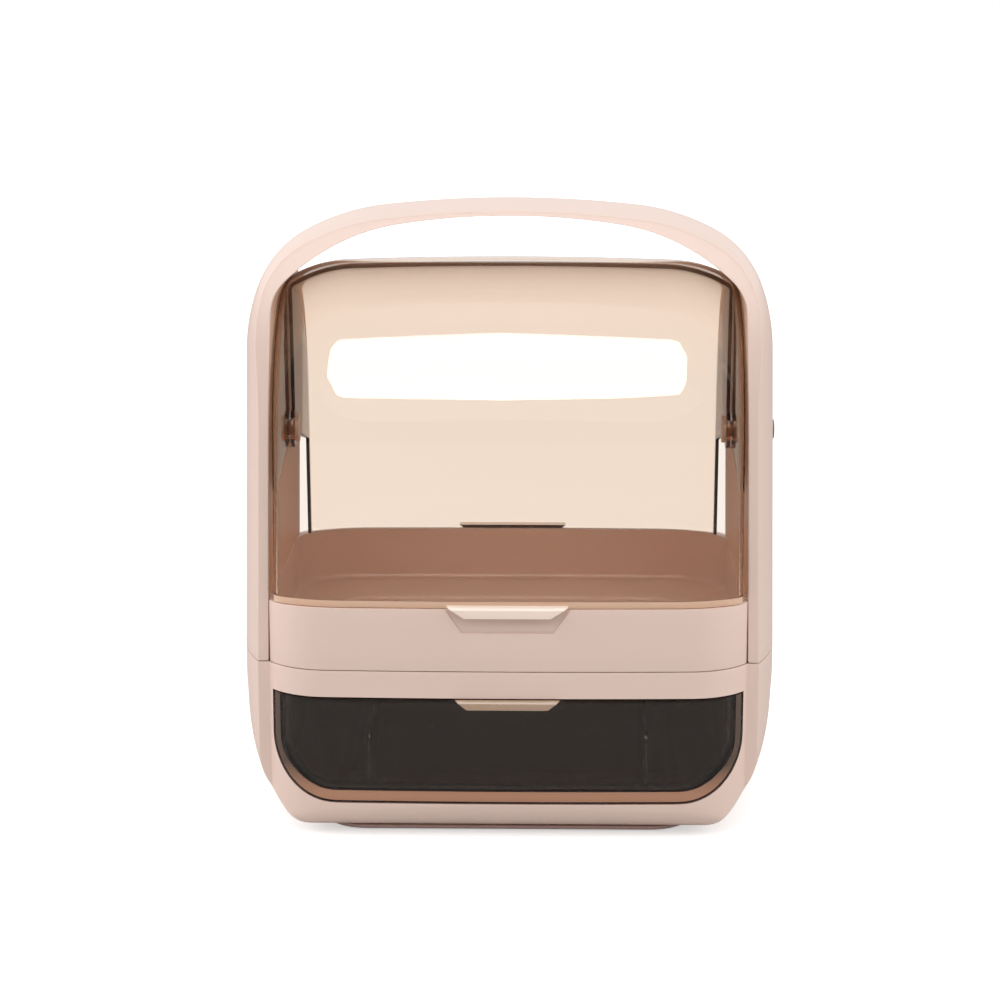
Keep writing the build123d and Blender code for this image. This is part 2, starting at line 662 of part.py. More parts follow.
for side in (-1, 1):
    for edge in (-1, 1):
        rib_x = side * divider_x + edge * rib_offset
        drawer += Pos(rib_x, drawer_back_y - drawer_wall / 2, drawer_floor_z) * back_rib
        drawer += Pos(rib_x, divider_middle_y, drawer_floor_z) * floor_rib
lug_y = drawer_back_y - lug_inset
lug_foot_z = drawer_bottom_z - drawer_gap - lug_drop
stop_top_z = lug_foot_z + stop_overlap
lug = Box(stop_width, lug_length, drawer_bottom_z - lug_foot_z, align=on_floor)
for side in (-1, 1):
    drawer += Pos(side * stop_x, lug_y, lug_foot_z) * lug
drawer_tab_root_y = bow_depth - drawer_front_wall / 2
drawer_top_z = opening_top_z - drawer_gap
drawer += pull_tab(drawer_tab_width, drawer_tab_foot_width, drawer_top_z, drawer_tab_root_y, drawer_tab_drop)


def divider(side):
    """A loose plate across the drawer, with the upper corners rounded."""
    blade = Box(divider_thickness, divider_length, divider_height, align=on_floor)
    blade = Pos(side * divider_x, divider_middle_y, drawer_floor_z + divider_slot_gap) * blade
    return fillet(blade.edges().filter_by(Axis.X).group_by(Axis.Z)[-1], divider_top_radius)


def rail(side):
    """A low strip on the housing floor that the drawer slides on."""
    height = drawer_bottom_z - rail_gap - housing_floor_z
    strip = Box(rail_width, 2 * rail_half_length, height, align=on_floor)
    return Pos(side * rail_x, 0, housing_floor_z) * strip


def drawer_stop(side):
    """A block on the housing floor that a lug under the drawer meets at full travel."""
    stop_y = lug_y - drawer_travel - (lug_length + stop_length) / 2 - stop_play
    block = Box(stop_width, stop_length, stop_top_z - housing_floor_z, align=on_floor)
    return Pos(side * stop_x, stop_y, housing_floor_z) * block


nodes = {
    "lower_housing": housing,
    "foot_plate": foot_plate,
    "foot_pads": Compound(pads),
    "base_screws": base_screws,
    "upper_tray": tray,
    "tray_screws": tray_screws,
    "arch_shell": arch_shell,
    "arch_liner": arch_liner,
    "arch_screws": arch_screws,
    "front_cover": front_cover,
    "rear_cover": rear_cover,
    "drawer_shell": drawer,
}
for name, side in (("left", -1), ("right", 1)):
    pin, spacer, clip, cap = pivot_set(side)
    nodes["pivot_pin_" + name] = pin
    nodes["pivot_spacer_" + name] = spacer
    nodes["pivot_clip_" + name] = clip
    nodes["pivot_cap_" + name] = cap
    nodes["drawer_divider_" + name] = divider(side)
    nodes["drawer_rail_" + name] = rail(side)
    nodes["drawer_stop_" + name] = drawer_stop(side)
for name, shape in nodes.items():
    export_step(shape, f"parts/{name}.step")
    print(name, shape.is_valid, len(shape.solids()), round(shape.volume / 1000, 2), "cm3")
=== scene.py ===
import math
import bmesh
import bpy
import numpy as np
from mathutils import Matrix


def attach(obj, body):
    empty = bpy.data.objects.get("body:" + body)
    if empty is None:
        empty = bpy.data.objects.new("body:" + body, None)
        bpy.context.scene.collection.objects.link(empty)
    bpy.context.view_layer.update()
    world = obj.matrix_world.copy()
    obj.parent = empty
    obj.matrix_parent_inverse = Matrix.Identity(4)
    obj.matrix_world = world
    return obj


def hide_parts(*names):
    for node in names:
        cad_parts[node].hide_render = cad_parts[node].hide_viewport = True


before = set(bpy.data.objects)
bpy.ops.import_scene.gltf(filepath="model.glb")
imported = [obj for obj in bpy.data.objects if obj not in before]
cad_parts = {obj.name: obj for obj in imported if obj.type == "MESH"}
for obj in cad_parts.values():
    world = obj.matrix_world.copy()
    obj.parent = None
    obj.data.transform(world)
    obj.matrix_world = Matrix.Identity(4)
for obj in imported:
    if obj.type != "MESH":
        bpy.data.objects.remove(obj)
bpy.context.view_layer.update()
print("frame loaded with", len(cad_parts), "nodes")

# Cosmetic organizer box, seen from the front. Shapes are worked out in millimetres with numpy,
# X to the right, the front towards -Y and Z up from the table.

box = dict(
    sideHalf=133.4,          # bulging sides at the seam
    sideLean=1.2,            # degrees they lean in going up
    seamZ=84.0,              # top of the lower housing
    rimZ=114.7,              # top of the tray
    pivotZ=186.0,            # axis that both covers turn about
    crownRadius=420.0,       # swell of the sides, front to back
    crownHalf=39.0,          # where a tighter arc takes over
    crownEdge=115.0,         # radius of that arc
    faceHalf=76.0,           # flat front and back faces of the arch
    bowDepth=94.0,           # bowed front and back, at the middle
    bowRadius=2250.0,
    bowHalf=116.0,           # where the bow ends at the sides
    bowRun=28.0,             # width of its round end
)
millimetre = 0.001           # in the scene's metres
mergeWithin = 2e-6           # metres


def sine(heading):
    # Sine of a heading in degrees.
    return math.sin(math.radians(heading))


def cosine(heading):
    # Cosine of a heading in degrees.
    return math.cos(math.radians(heading))


def chainSpan(turns, heading=0.0):
    # How far a chain of arcs runs across and up: the sums of r * (sin h1 - sin h0) and of
    # r * (cos h0 - cos h1), each arc turning from heading h0 to h1.
    across = rise = 0.0
    for radius, end in turns:
        across += radius * (sine(end) - sine(heading))
        rise += radius * (cosine(heading) - cosine(end))
        heading = end
    return across, rise


def arcPoints(headings, start, turns):
    # A chain of arcs tangent to one another, read off at given headings in degrees. On an arc of
    # radius r about c the point is c + r * (sin h, -cos h), with r negative when it turns right.
    x, y = start
    heading = 0.0
    px, py = np.zeros(len(headings)), np.zeros(len(headings))
    for radius, end in turns:
        r = radius if end > heading else -radius
        cx, cy = x - r * sine(heading), y + r * cosine(heading)
        here = (headings >= min(heading, end) - 1e-9) & (headings <= max(heading, end) + 1e-9)
        a = np.radians(headings[here])
        px[here], py[here] = cx + r * np.sin(a), cy - r * np.cos(a)
        x, y = cx + r * sine(end), cy - r * cosine(end)
        heading = end
    return px, py


def crownDrop(y):
    # How far a swelling side has fallen back at y: r - sqrt(r^2 - y^2) on the wide arc in the middle,
    # then e * (cos t - sqrt(1 - (sin t + past / e)^2)) on the tighter one that meets it at the turn t.
    y = np.abs(y)
    radius, half, edge = box["crownRadius"], box["crownHalf"], box["crownEdge"]
    turn = math.asin(half / radius)
    middle = radius - np.sqrt(radius**2 - np.minimum(y, half) ** 2)
    past = np.maximum(y - half, 0.0)
    return middle + edge * (math.cos(turn) - np.sqrt(1 - (math.sin(turn) + past / edge) ** 2))


def bowEnd(half, depth, endY, run, radius):
    # Start, centre and radius of a bow's round end: the arc that leaves the long one at half - run,
    # tangent to it, and ends at (half, endY). Its radius is d.d / (2 d.n), where d runs from its start
    # to its end and n is the inward normal at its start.
    startX = half - run
    startY = depth - (radius - math.sqrt(radius**2 - startX**2))
    lean = math.asin(startX / radius)
    nx, ny = -math.sin(lean), -math.cos(lean)
    dx, dy = half - startX, endY - startY
    endRadius = (dx**2 + dy**2) / (2 * (dx * nx + dy * ny))
    return startX, startX + endRadius * nx, startY + endRadius * ny, endRadius


def bowReach(x, half=box["bowHalf"], depth=box["bowDepth"], endY=box["faceHalf"], run=box["bowRun"]):
    # How far a bowed front stands from the middle at x: depth - (r - sqrt(r^2 - x^2)) on one long flat
    # arc, then cy + sqrt(e^2 - (x - cx)^2) on its round end.
    x = np.abs(np.asarray(x, float))
    radius = box["bowRadius"]
    startX, cx, cy, endRadius = bowEnd(half, depth, endY, run, radius)
    flat = depth - (radius - np.sqrt(radius**2 - np.minimum(x, startX) ** 2))
    rounded = cy + np.sqrt(np.maximum(endRadius**2 - (x - cx) ** 2, 0.0))
    return np.where(x > startX, rounded, flat)


def smoothStep(t):
    # 3 t^2 - 2 t^3, held at 0 and 1 outside that range.
    t = np.clip(t, 0.0, 1.0)
    return t * t * (3 - 2 * t)


def smoothMin(a, b, blend):
    # The smaller of two values, less n^2 * blend / 4, where n goes from 1 where they are equal to 0
    # where they are a blend apart.
    near = np.maximum(blend - np.abs(a - b), 0.0) / max(blend, 1e-6)
    return np.minimum(a, b) - near**2 * blend / 4


def point(x, y, z):
    # Three arrays of one shape as an array of points.
    x, y, z = np.broadcast_arrays(x, y, z)
    return np.stack([x, y, z], -1).astype(float)


def gridFaces(rows, columns, wrap):
    # Quads between neighbouring rows and columns; wrap joins the last column to the first.
    i = np.arange(rows - 1)[:, None] * columns
    j = np.arange(columns if wrap else columns - 1)[None, :]
    k = (j + 1) % columns
    return np.stack([i + j, i + k, i + columns + k, i + columns + j], -1).reshape(-1, 4)


def addObject(name, data):
    # An object for some data, in the scene.
    thing = bpy.data.objects.new(name, data)
    bpy.context.scene.collection.objects.link(thing)
    return thing


def makeSolid(name, patches, caps=()):
    # A mesh from grids of points (rows, columns, 3) in millimetres, each wrapped round or not, and
    # capped loops. Doubles are merged and faces turned outwards, so that the sum of
    # area * (middle - centre) . normal is positive.
    points, faces, count = [], [], 0
    for grid, wrap in patches:
        points.append(grid.reshape(-1, 3))
        faces += (gridFaces(*grid.shape[:2], wrap) + count).tolist()
        count += len(points[-1])
    for loop in caps:
        points.append(loop)
        faces.append(list(range(count, count + len(loop))))
        count += len(loop)
    mesh = bpy.data.meshes.new(name)
    mesh.from_pydata((np.concatenate(points) * millimetre).tolist(), [], faces)
    work = bmesh.new()
    work.from_mesh(mesh)
    bmesh.ops.remove_doubles(work, verts=work.verts, dist=mergeWithin)
    bmesh.ops.dissolve_degenerate(work, edges=work.edges, dist=mergeWithin / 2)
    bmesh.ops.recalc_face_normals(work, faces=work.faces)
    middle = np.array([f.calc_center_median() for f in work.faces])
    normal = np.array([f.normal * f.calc_area() for f in work.faces])
    centre = np.average(middle, axis=0, weights=np.linalg.norm(normal, axis=1))
    if ((middle - centre) * normal).sum() < 0:
        bmesh.ops.reverse_faces(work, faces=work.faces)
    work.to_mesh(mesh)
    work.free()
    return addObject(name, mesh)


def finishMesh(piece, smoothAngle):
    # Apply the modifiers, shade smooth and keep edges sharper than the angle sharp.
    evaluated = piece.evaluated_get(bpy.context.evaluated_depsgraph_get())
    mesh = bpy.data.meshes.new_from_object(evaluated)
    piece.modifiers.clear()
    piece.data = mesh
    mesh.polygons.foreach_set("use_smooth", np.ones(len(mesh.polygons), bool))
    mesh.set_sharp_from_angle(angle=math.radians(smoothAngle))


def addBevel(piece, width, segments, angle):
    # Rounds the edges where faces meet at more than the angle, by a width in millimetres.
    rounding = piece.modifiers.new("edges", "BEVEL")
    rounding.width = width * millimetre
    rounding.segments = segments
    rounding.limit_method = "ANGLE"
    rounding.angle_limit = math.radians(angle)


def makePiece(name, body, material, replaces, patches, caps=(), wall=0.0, edges=None,
              smoothAngle=40):
    # A piece of the object: its surface, given a wall inwards from it and rounded edges, which are a
    # width, a number of segments and the angle past which an edge is rounded.
    piece = makeSolid(name, patches, caps)
    if wall:
        shell = piece.modifiers.new("wall", "SOLIDIFY")
        shell.thickness = wall * millimetre
        shell.offset = -1
        shell.use_even_offset = True
        shell.use_quality_normals = True
    if edges:
        addBevel(piece, *edges)
    finishMesh(piece, smoothAngle)
    piece.data.materials.append(material)
    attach(piece, body)
    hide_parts(replaces)
    print(name, len(piece.data.polygons), "faces")
    return piece


def roundEdges(piece, width, segments, angle):
    # Round the edges of a piece that is already cut or joined.
    addBevel(piece, width, segments, angle)
    finishMesh(piece, angle)


def joinWith(piece, tool, operation, smoothAngle=30):
    # Cut or join a piece with a helper solid, then remove the helper.
    step = piece.modifiers.new("join", "BOOLEAN")
    step.operation = operation
    step.solver = "EXACT"
    step.object = tool
    finishMesh(piece, smoothAngle)
    bpy.data.objects.remove(tool)


def addSolid(piece, tool):
    # Put a helper solid into the piece's mesh as it is, then remove the helper.
    work = bmesh.new()
    work.from_mesh(piece.data)
    work.from_mesh(tool.data)
    work.to_mesh(piece.data)
    work.free()
    bpy.data.objects.remove(tool)


def faceValues(piece, name):
    # One row of three numbers for each face: its centre, in metres, or its normal.
    values = np.zeros(len(piece.data.polygons) * 3)
    piece.data.polygons.foreach_get(name, values)
    return values.reshape(-1, 3)


def finishFaces(piece, material, chosen):
    # One more finish, for the faces where chosen is true.
    piece.data.materials.append(material)
    index = np.zeros(len(chosen), np.int32)
    piece.data.polygons.foreach_get("material_index", index)
    index[chosen] = len(piece.data.materials) - 1
    piece.data.polygons.foreach_set("material_index", index)


# Materials
def newMaterial(name):
    # A material, its node tree and its shader.
    material = bpy.data.materials.new(name)
    material.use_nodes = True
    tree = material.node_tree
    return material, tree, tree.nodes["Principled BSDF"]


def feed(tree, socket, value):
    # Another node's output is linked to the socket, and anything else becomes its value.
    if isinstance(value, bpy.types.NodeSocket):
        tree.links.new(value, socket)
    else:
        socket.default_value = value


def addNode(tree, kind, **values):
    # A node whose inputs are fed and whose settings are set, each by its name.
    node = tree.nodes.new(kind)
    for key, value in values.items():
        if key in node.inputs:
            feed(tree, node.inputs[key], value)
        else:
            setattr(node, key, value)
    return node


def mathNode(tree, operation, first, second, third=0.0):
    # first and second taken together by the operation; only MULTIPLY_ADD adds the third.
    node = addNode(tree, "ShaderNodeMath", operation=operation)
    for socket, value in zip(node.inputs, (first, second, third)):
        feed(tree, socket, value)
    return node.outputs[0]


def mixValues(tree, kind, switch, off, on):
    # off * (1 - switch) + on * switch, of numbers (FLOAT) or colours (RGBA).
    return addNode(tree, "ShaderNodeMix", data_type=kind, Factor=switch, A=off, B=on).outputs["Result"]


def mapRange(tree, value, low, high, start=0.0, end=1.0, curve="LINEAR"):
    # low + (high - low) * t, where t goes from 0 to 1 as the value goes from start to end.
    ends = {"From Min": start, "From Max": end, "To Min": low, "To Max": high}
    node = addNode(tree, "ShaderNodeMapRange", interpolation_type=curve, Value=value, **ends)
    return node.outputs["Result"]


def objectPlace(tree):
    # The place on the object, in metres.
    return addNode(tree, "ShaderNodeTexCoord").outputs["Object"]


def addNoise(tree, scale, detail=2.0):
    # Noise between 0 and 1, with about scale lumps to the metre.
    noise = addNode(tree, "ShaderNodeTexNoise", Scale=scale, Detail=detail, Vector=objectPlace(tree))
    return noise.outputs["Fac"]


satin = dict(roughness=0.34, roughSpread=0.04, grainScale=900.0, bump=0.04, bumpDepth=0.0002,
             driftScale=9.0, driftDetail=3.0, tone=0.03, ior=1.48)


def satinPlastic(name, color, roughness=satin["roughness"], grainScale=satin["grainScale"]):
    # Moulded plastic: the colour drifts slowly from 1 - tone to 1 + tone of itself, and a fine satin
    # grain moves the roughness from - spread to + spread and lifts the surface by the same noise.
    material, tree, shader = newMaterial(name)
    drift = addNoise(tree, satin["driftScale"], satin["driftDetail"])
    grain = addNoise(tree, grainScale)
    dark = [c * (1 - satin["tone"]) for c in color]
    light = [min(c * (1 + satin["tone"]), 1) for c in color]
    feed(tree, shader.inputs["Base Color"], mixValues(tree, "RGBA", drift, (*dark, 1), (*light, 1)))
    spread = satin["roughSpread"]
    feed(tree, shader.inputs["Roughness"], mapRange(tree, grain, roughness - spread, roughness + spread))
    bump = addNode(tree, "ShaderNodeBump", Strength=satin["bump"], Distance=satin["bumpDepth"], Height=grain)
    feed(tree, shader.inputs["Normal"], bump.outputs["Normal"])
    shader.inputs["IOR"].default_value = satin["ior"]
    return material


clear = dict(roughness=0.012, polishScale=14.0, polishDetail=1.0, ior=1.49)


def clearPlastic(name, tint, density):
    # Clear plastic coloured through its thickness, with a faint unevenness in its polish: the roughness
    # goes from half to one and a half times its value.
    material, tree, shader = newMaterial(name)
    shader.inputs["Base Color"].default_value = (1, 1, 1, 1)
    shader.inputs["Transmission Weight"].default_value = 1.0
    shader.inputs["IOR"].default_value = clear["ior"]
    wave = addNoise(tree, clear["polishScale"], clear["polishDetail"])
    rough = clear["roughness"]
    feed(tree, shader.inputs["Roughness"], mapRange(tree, wave, rough * 0.5, rough * 1.5))
    absorb = addNode(tree, "ShaderNodeVolumeAbsorption", Color=(*tint, 1), Density=density)
    feed(tree, tree.nodes["Material Output"].inputs["Volume"], absorb.outputs["Volume"])
    return material


pinkPlastic = satinPlastic("pinkSatin", (0.77, 0.585, 0.505))
# A brighter, warmer copy of the pink: painted light for the tray's inside, standing in for the light that
# comes through the clear covers. The pivot pins and spacers use it too.
pinkPaintedLight = satinPlastic("pinkPaintedLight", (0.93, 0.68, 0.56), roughness=0.24)
# A warmer, deeper copy of the pink for the arch's liner: painted light, the amber cast of light through the
# clear covers.
linerAmberLit = satinPlastic("linerAmberLitSatin", (0.92, 0.60, 0.42), roughness=0.4)
# Opaque cream for the covers' clear tabs: a painted highlight, brighter than the clear amber, standing in for
# the light the tabs catch.
creamTabHighlight = satinPlastic("creamTabHighlight", (0.93, 0.76, 0.64), roughness=0.2)
# Opaque golden band for the clear cover's lower rim: painted light, the glow along the edge of the clear
# plastic.
amberRimGlow = satinPlastic("amberRimGlow", (0.72, 0.48, 0.34), roughness=0.22)
# A darker copy of the golden rim colour for the drawer's pull tab: painted shade under the opening's top
# edge.
amberTabShaded = satinPlastic("amberTabShaded", (0.44, 0.30, 0.21), roughness=0.15)
# A darker pink for the foot plate: painted shade, as it sits low under the housing's rolled edge.
footShadedPlastic = satinPlastic("footShadedSatin", (0.68, 0.47, 0.42), roughness=0.45)
# Dark brown for the pivot caps: painted shade, standing in for the shade on their lower halves.
capShadedPlastic = satinPlastic("capShadedSatin", (0.22, 0.14, 0.11), roughness=0.4)
pinPlastic = satinPlastic("pinNatural", (0.62, 0.50, 0.44), roughness=0.5)
padRubber = satinPlastic("padRubber", (0.50, 0.46, 0.43), roughness=0.75, grainScale=1500.0)
screwSteel = satinPlastic("screwSteel", (0.55, 0.55, 0.55), roughness=0.3, grainScale=2500.0)
screwSteel.node_tree.nodes["Principled BSDF"].inputs["Metallic"].default_value = 1.0
amberClear = clearPlastic("amberClear", (0.867, 0.433, 0.017), 120.0)
# Dense dark amber for the drawer's body and dividers: painted shade, standing in for the unlit hollow of the
# drawer bay behind the clear front.
amberBayShade = clearPlastic("amberBayShade", (0.45, 0.22, 0.12), 420.0)

# Painted light for the drawer's strip: golden where the lit lip of the opening shows through the clear front,
# brown where it is in shade.
paintedLipTone = dict(golden=(0.45, 0.23, 0.14), brown=(0.10, 0.064, 0.048), roughness=0.2,
                fadeFrom=0.022, fadeTo=0.036)


def paintedLipFinish():
    # Painted light for the lip of the drawer opening seen through the clear front: lit golden along the
    # bottom, fading to shaded brown between two heights, in metres.
    material = satinPlastic("paintedLipSatin", paintedLipTone["golden"], roughness=paintedLipTone["roughness"])
    tree = material.node_tree
    base = tree.nodes["Principled BSDF"].inputs["Base Color"]
    axes = addNode(tree, "ShaderNodeSeparateXYZ", Vector=objectPlace(tree))
    height = mapRange(tree, axes.outputs["Z"], 0.0, 1.0, paintedLipTone["fadeFrom"], paintedLipTone["fadeTo"])
    feed(tree, base, mixValues(tree, "RGBA", height, base.links[0].from_socket, (*paintedLipTone["brown"], 1)))
    return material


paintedLipPlastic = paintedLipFinish()
print("materials made")

# Arch: crowned outside, flat faces, and a lip round the liner inside
arch = dict(
    top=301.2, firstHeading=6.3, turns=[(107.0, 28.5), (45.0, 69.5), (88.0, 88.8)],
    innerTop=297.3, innerHalf=116.5, innerFirst=8.6, innerTurns=[(98.5, 43.5), (20.5, 89.0)],
    narrowZ=195.0, handleHalf=39.0, lip=2.2, footGap=0.3,
    skin=1.5,                                # from the liner's face out to its back
    swell=2.6, swellZ=259.0, swellRun=11.0,  # and how much more where the covers pass the shoulders
    topPoints=16, turnPoints=46, legPoints=26, crownColumns=40, faceColumns=4,
    crownShare=0.92,                         # of a quarter turn, by whose sine the columns are spread
    settlePasses=12, edges=(0.7, 3, 25), smoothAngle=30,
)


def archCurve(width, top, firstHeading, turns):
    # Right half of an arch from its crest down to the seam, as points and outward normals: arcs read
    # at shared headings, then a straight leaning leg. The crest has the radius with which the leg meets
    # the width at the seam, (width - across - lean * (top - down - seam)) / (sin f - lean * (1 - cos f)).
    last = turns[-1][1]
    lean = math.tan(math.radians(90 - last))
    across, down = chainSpan(turns, firstHeading)
    crest = width - across - (top - down - box["seamZ"]) * lean
    crest /= sine(firstHeading) - (1 - cosine(firstHeading)) * lean
    headings = np.concatenate([
        np.linspace(0, firstHeading, arch["topPoints"])[:-1],
        np.linspace(firstHeading, last, arch["turnPoints"]),
    ])
    x, z = arcPoints(-headings, (0.0, top), [(crest, -firstHeading)] + [(r, -h) for r, h in turns])
    leg = np.linspace(0, 1, arch["legPoints"])[1:]
    footZ = box["seamZ"] + arch["footGap"]
    footX = width - (footZ - box["seamZ"]) * lean
    normals = np.radians(np.concatenate([headings, np.full(len(leg), last)]))
    x = np.concatenate([x, x[-1] + (footX - x[-1]) * leg])
    z = np.concatenate([z, z[-1] + (footZ - z[-1]) * leg])
    return x, z, np.sin(normals), np.cos(normals)


def bothSides(x, z, nx, nz):
    # The half curve and its mirror image, from the left foot over the crest to the right foot.
    return [np.concatenate([side * v[:0:-1], v]) for side, v in ((-1, x), (1, z), (-1, nx), (1, nz))]


def archHalfDepth(z):
    # Half depth of the arch at a height: full low down, then less r - sqrt(r^2 - over^2), a circular
    # narrowing whose radius r makes it the handle's at the top.
    rise = arch["top"] - arch["narrowZ"]
    taper = box["faceHalf"] - arch["handleHalf"]
    radius = rise / math.sin(2 * math.atan2(taper, rise))
    over = np.maximum(np.asarray(z, float) - arch["narrowZ"], 0.0)
    return box["faceHalf"] - (radius - np.sqrt(radius**2 - over**2))


def buildArch():
    # The section is carried along the outer and the inner curve together. Outside it is the outer curve
    # less crownDrop(y) along the normal. Inside it is the inner curve, which is the liner's face, plus
    # skin + swell * exp(-((z - swellZ) / swellRun)^2) along the normal, where the liner's back lies.
    cx, cz, nx, nz = bothSides(*archCurve(box["sideHalf"], arch["top"], arch["firstHeading"], arch["turns"]))
    inner = archCurve(arch["innerHalf"], arch["innerTop"], arch["innerFirst"], arch["innerTurns"])
    ix, iz, mx, mz = bothSides(*inner)
    edge = archHalfDepth(cz)
    for _ in range(arch["settlePasses"]):  # the crown falls back, so the flat face is met a little lower
        edge = archHalfDepth(cz - crownDrop(edge) * nz)
    quarter = math.pi / 2
    share = np.sin(np.linspace(-1, 1, arch["crownColumns"] + 1) * quarter * arch["crownShare"])
    y = edge[:, None] * (share / math.sin(quarter * arch["crownShare"]))
    drop = crownDrop(y)
    outside = point(cx[:, None] - drop * nx[:, None], y, cz[:, None] - drop * nz[:, None])
    back = outside[:, -1:]
    innerY = archHalfDepth(iz)
    part = np.linspace(0, 1, arch["faceColumns"] + 1)[1:]
    backFace = back + (point(ix, innerY, iz)[:, None] - back) * part[:, None]
    backFace[..., 1] = archHalfDepth(backFace[..., 2])
    skin = arch["skin"] + arch["swell"] * np.exp(-((iz - arch["swellZ"]) / arch["swellRun"]) ** 2)
    lipY = innerY - arch["lip"]
    lipEdge = point(ix, lipY, iz)[:, None]
    lipFoot = point(ix + mx * skin, lipY, iz + mz * skin)[:, None]
    mirror = np.array([1, -1, 1])
    loop = np.concatenate([outside, backFace, lipEdge, lipFoot, lipFoot * mirror, lipEdge * mirror,
                           backFace[:, ::-1] * mirror], 1)
    makePiece("archShell", "base", pinkPlastic, "arch_shell", [(loop, True)],
              caps=[loop[0], loop[-1]], edges=arch["edges"], smoothAngle=arch["smoothAngle"])


buildArch()
print("arch built")

# Lower housing: bulging sides that flatten out downwards, a bowed front and back that roll under
housing = dict(
    bottomZ=3.2, wall=2.6, edges=(0.9, 3, 30), topGap=0.15,
    roll=16.0, rollBlend=5.0, rollRows=12, wallRows=25,
    turns=[(26.7, 49.1), (125.7, 61.4), (68.4, 88.8)], turnPoints=(60, 20, 40),
    sideBlend=5.0, blendZ=60.0, blendRun=18.0,         # the swell meets the lower side softly
    bowPoints=34, facePoints=7, sidePoints=30,
    frontEnd=2.0, cornerPasses=6,                      # the bow ends short of the corner, found in passes
    openHalf=114.4, openLow=17.6, openHigh=70.8, openCorner=32.0, cutY=(-130.0, -52.0),
    topPoints=40, openSidePoints=10, cornerPoints=14, bottomPoints=20,
    deckLow=74.4, deckHigh=76.9, deckShare=(0.985, 0.98),
    lip=2.0, lipBack=-60.0, lipInset=0.1, lipRows=6,   # frame that the drawer slides through
)


def housingWidth(z):
    # Half width of the front view at a height: three arcs from the flat bottom into the leaning side,
    # which starts where the chain of arcs ends on a line through the seam.
    across, rise = chainSpan(housing["turns"])
    lean = math.tan(math.radians(box["sideLean"]))
    startX = box["sideHalf"] - across - (box["seamZ"] - housing["bottomZ"] - rise) * lean
    ends = [end for _, end in housing["turns"]]
    spans = zip([0.0] + ends, ends, housing["turnPoints"])
    headings = np.concatenate([np.linspace(*span) for span in spans])
    x, y = arcPoints(headings, (startX, housing["bottomZ"]), housing["turns"])
    return np.interp(z, np.append(y, box["seamZ"]), np.append(x, box["sideHalf"]))


def housingHeights():
    # Rows of the housing: bottom + roll * (1 - cos a) where the lower edge rolls under, then even.
    a = np.linspace(0, math.pi / 2, housing["rollRows"])
    low = housing["bottomZ"] + housing["roll"] * (1 - np.cos(a))
    even = np.linspace(low[-1], box["seamZ"] - housing["topGap"], housing["wallRows"] + 1)
    return np.concatenate([low, even[1:]])


def housingSide(y, z):
    # Half width at y and z: the front view's width or the swell of the plan, whichever is less.
    blend = housing["sideBlend"] * (1 - float(smoothStep((z - housing["blendZ"]) / housing["blendRun"])))
    return smoothMin(float(housingWidth(z)), box["sideHalf"] - crownDrop(y), blend)


def housingOutline(z):
    # One turn of the outline at height z. The bowed front runs out to the side, cut off at the depth
    # where the lower edge rolls under, r - sqrt(r^2 - (r - height)^2); the sides swell between its ends.
    under = max(housing["roll"] - (z - housing["bottomZ"]), 0.0)
    rolled = housing["roll"] - math.sqrt(max(housing["roll"] ** 2 - under**2, 0.0))

    def frontDepth(x):
        # The bow, and past its end the flat face, or the rolled edge where that is less.
        flat = np.where(x < box["bowHalf"], bowReach(np.minimum(x, box["bowHalf"])), box["faceHalf"])
        return smoothMin(flat, box["bowDepth"] - rolled, min(rolled, housing["rollBlend"]))

    cornerX = housingWidth(z)
    for _ in range(housing["cornerPasses"]):
        cornerX = float(housingSide(frontDepth(np.array(cornerX)), z))
    bowX = min(box["bowHalf"], cornerX - housing["frontEnd"])
    bow = bowX * np.sin(np.linspace(0, math.pi / 2, housing["bowPoints"]))
    frontX = np.concatenate([bow, np.linspace(bowX, cornerX, housing["facePoints"])[1:]])
    frontY = frontDepth(frontX)
    sideY = np.sin(np.linspace(math.pi / 2, 0, housing["sidePoints"])[1:]) * frontY[-1]
    quarterX = np.concatenate([frontX, housingSide(sideY, z)])
    quarterY = -np.concatenate([frontY, sideY])
    x = np.concatenate([quarterX, quarterX[-2::-1], -quarterX[1:], -quarterX[-2:0:-1]])
    y = np.concatenate([quarterY, -quarterY[-2::-1], -quarterY[1:], quarterY[-2:0:-1]])
    return x, y


def openingOutline(grow=0.0):
    # The drawer opening in the front view, larger by grow all round, from the middle of its top once
    # round. Its lower corners are quarter circles, c + r * (sin a, -cos a).
    half, low, high = housing["openHalf"] + grow, housing["openLow"] - grow, housing["openHigh"] + grow
    corner = housing["openCorner"] + grow
    a = np.linspace(0, math.pi / 2, housing["cornerPoints"])
    top = np.linspace(0, half, housing["topPoints"])[:-1]
    side = np.linspace(low + corner, high, housing["openSidePoints"])[:0:-1]
    bottom = half - corner + np.linspace(0, corner - half, housing["bottomPoints"])[1:]
    x = np.concatenate([top, np.full(len(side), half), (half - corner + corner * np.sin(a))[::-1], bottom])
    z = np.concatenate([np.full(len(top), high), side, (low + corner - corner * np.cos(a))[::-1],
                        np.full(len(bottom), low)])
    return np.concatenate([x, -x[-2:0:-1]]), np.concatenate([z, z[-2:0:-1]])


def openingLip():
    # The frame that the drawer slides through: the opening's outline carried back from the front wall,
    # and back again a lip larger.
    rows = []
    there = np.linspace(0, 1, housing["lipRows"])
    for grow, shares in ((0.0, there), (housing["lip"], there[::-1])):
        x, z = openingOutline(grow)
        start = housing["wall"] + housing["lipInset"] - bowReach(np.minimum(np.abs(x), box["bowHalf"]))
        rows += [point(x, start + (housing["lipBack"] - start) * share, z) for share in shares]
    return np.stack(rows + [rows[0]])


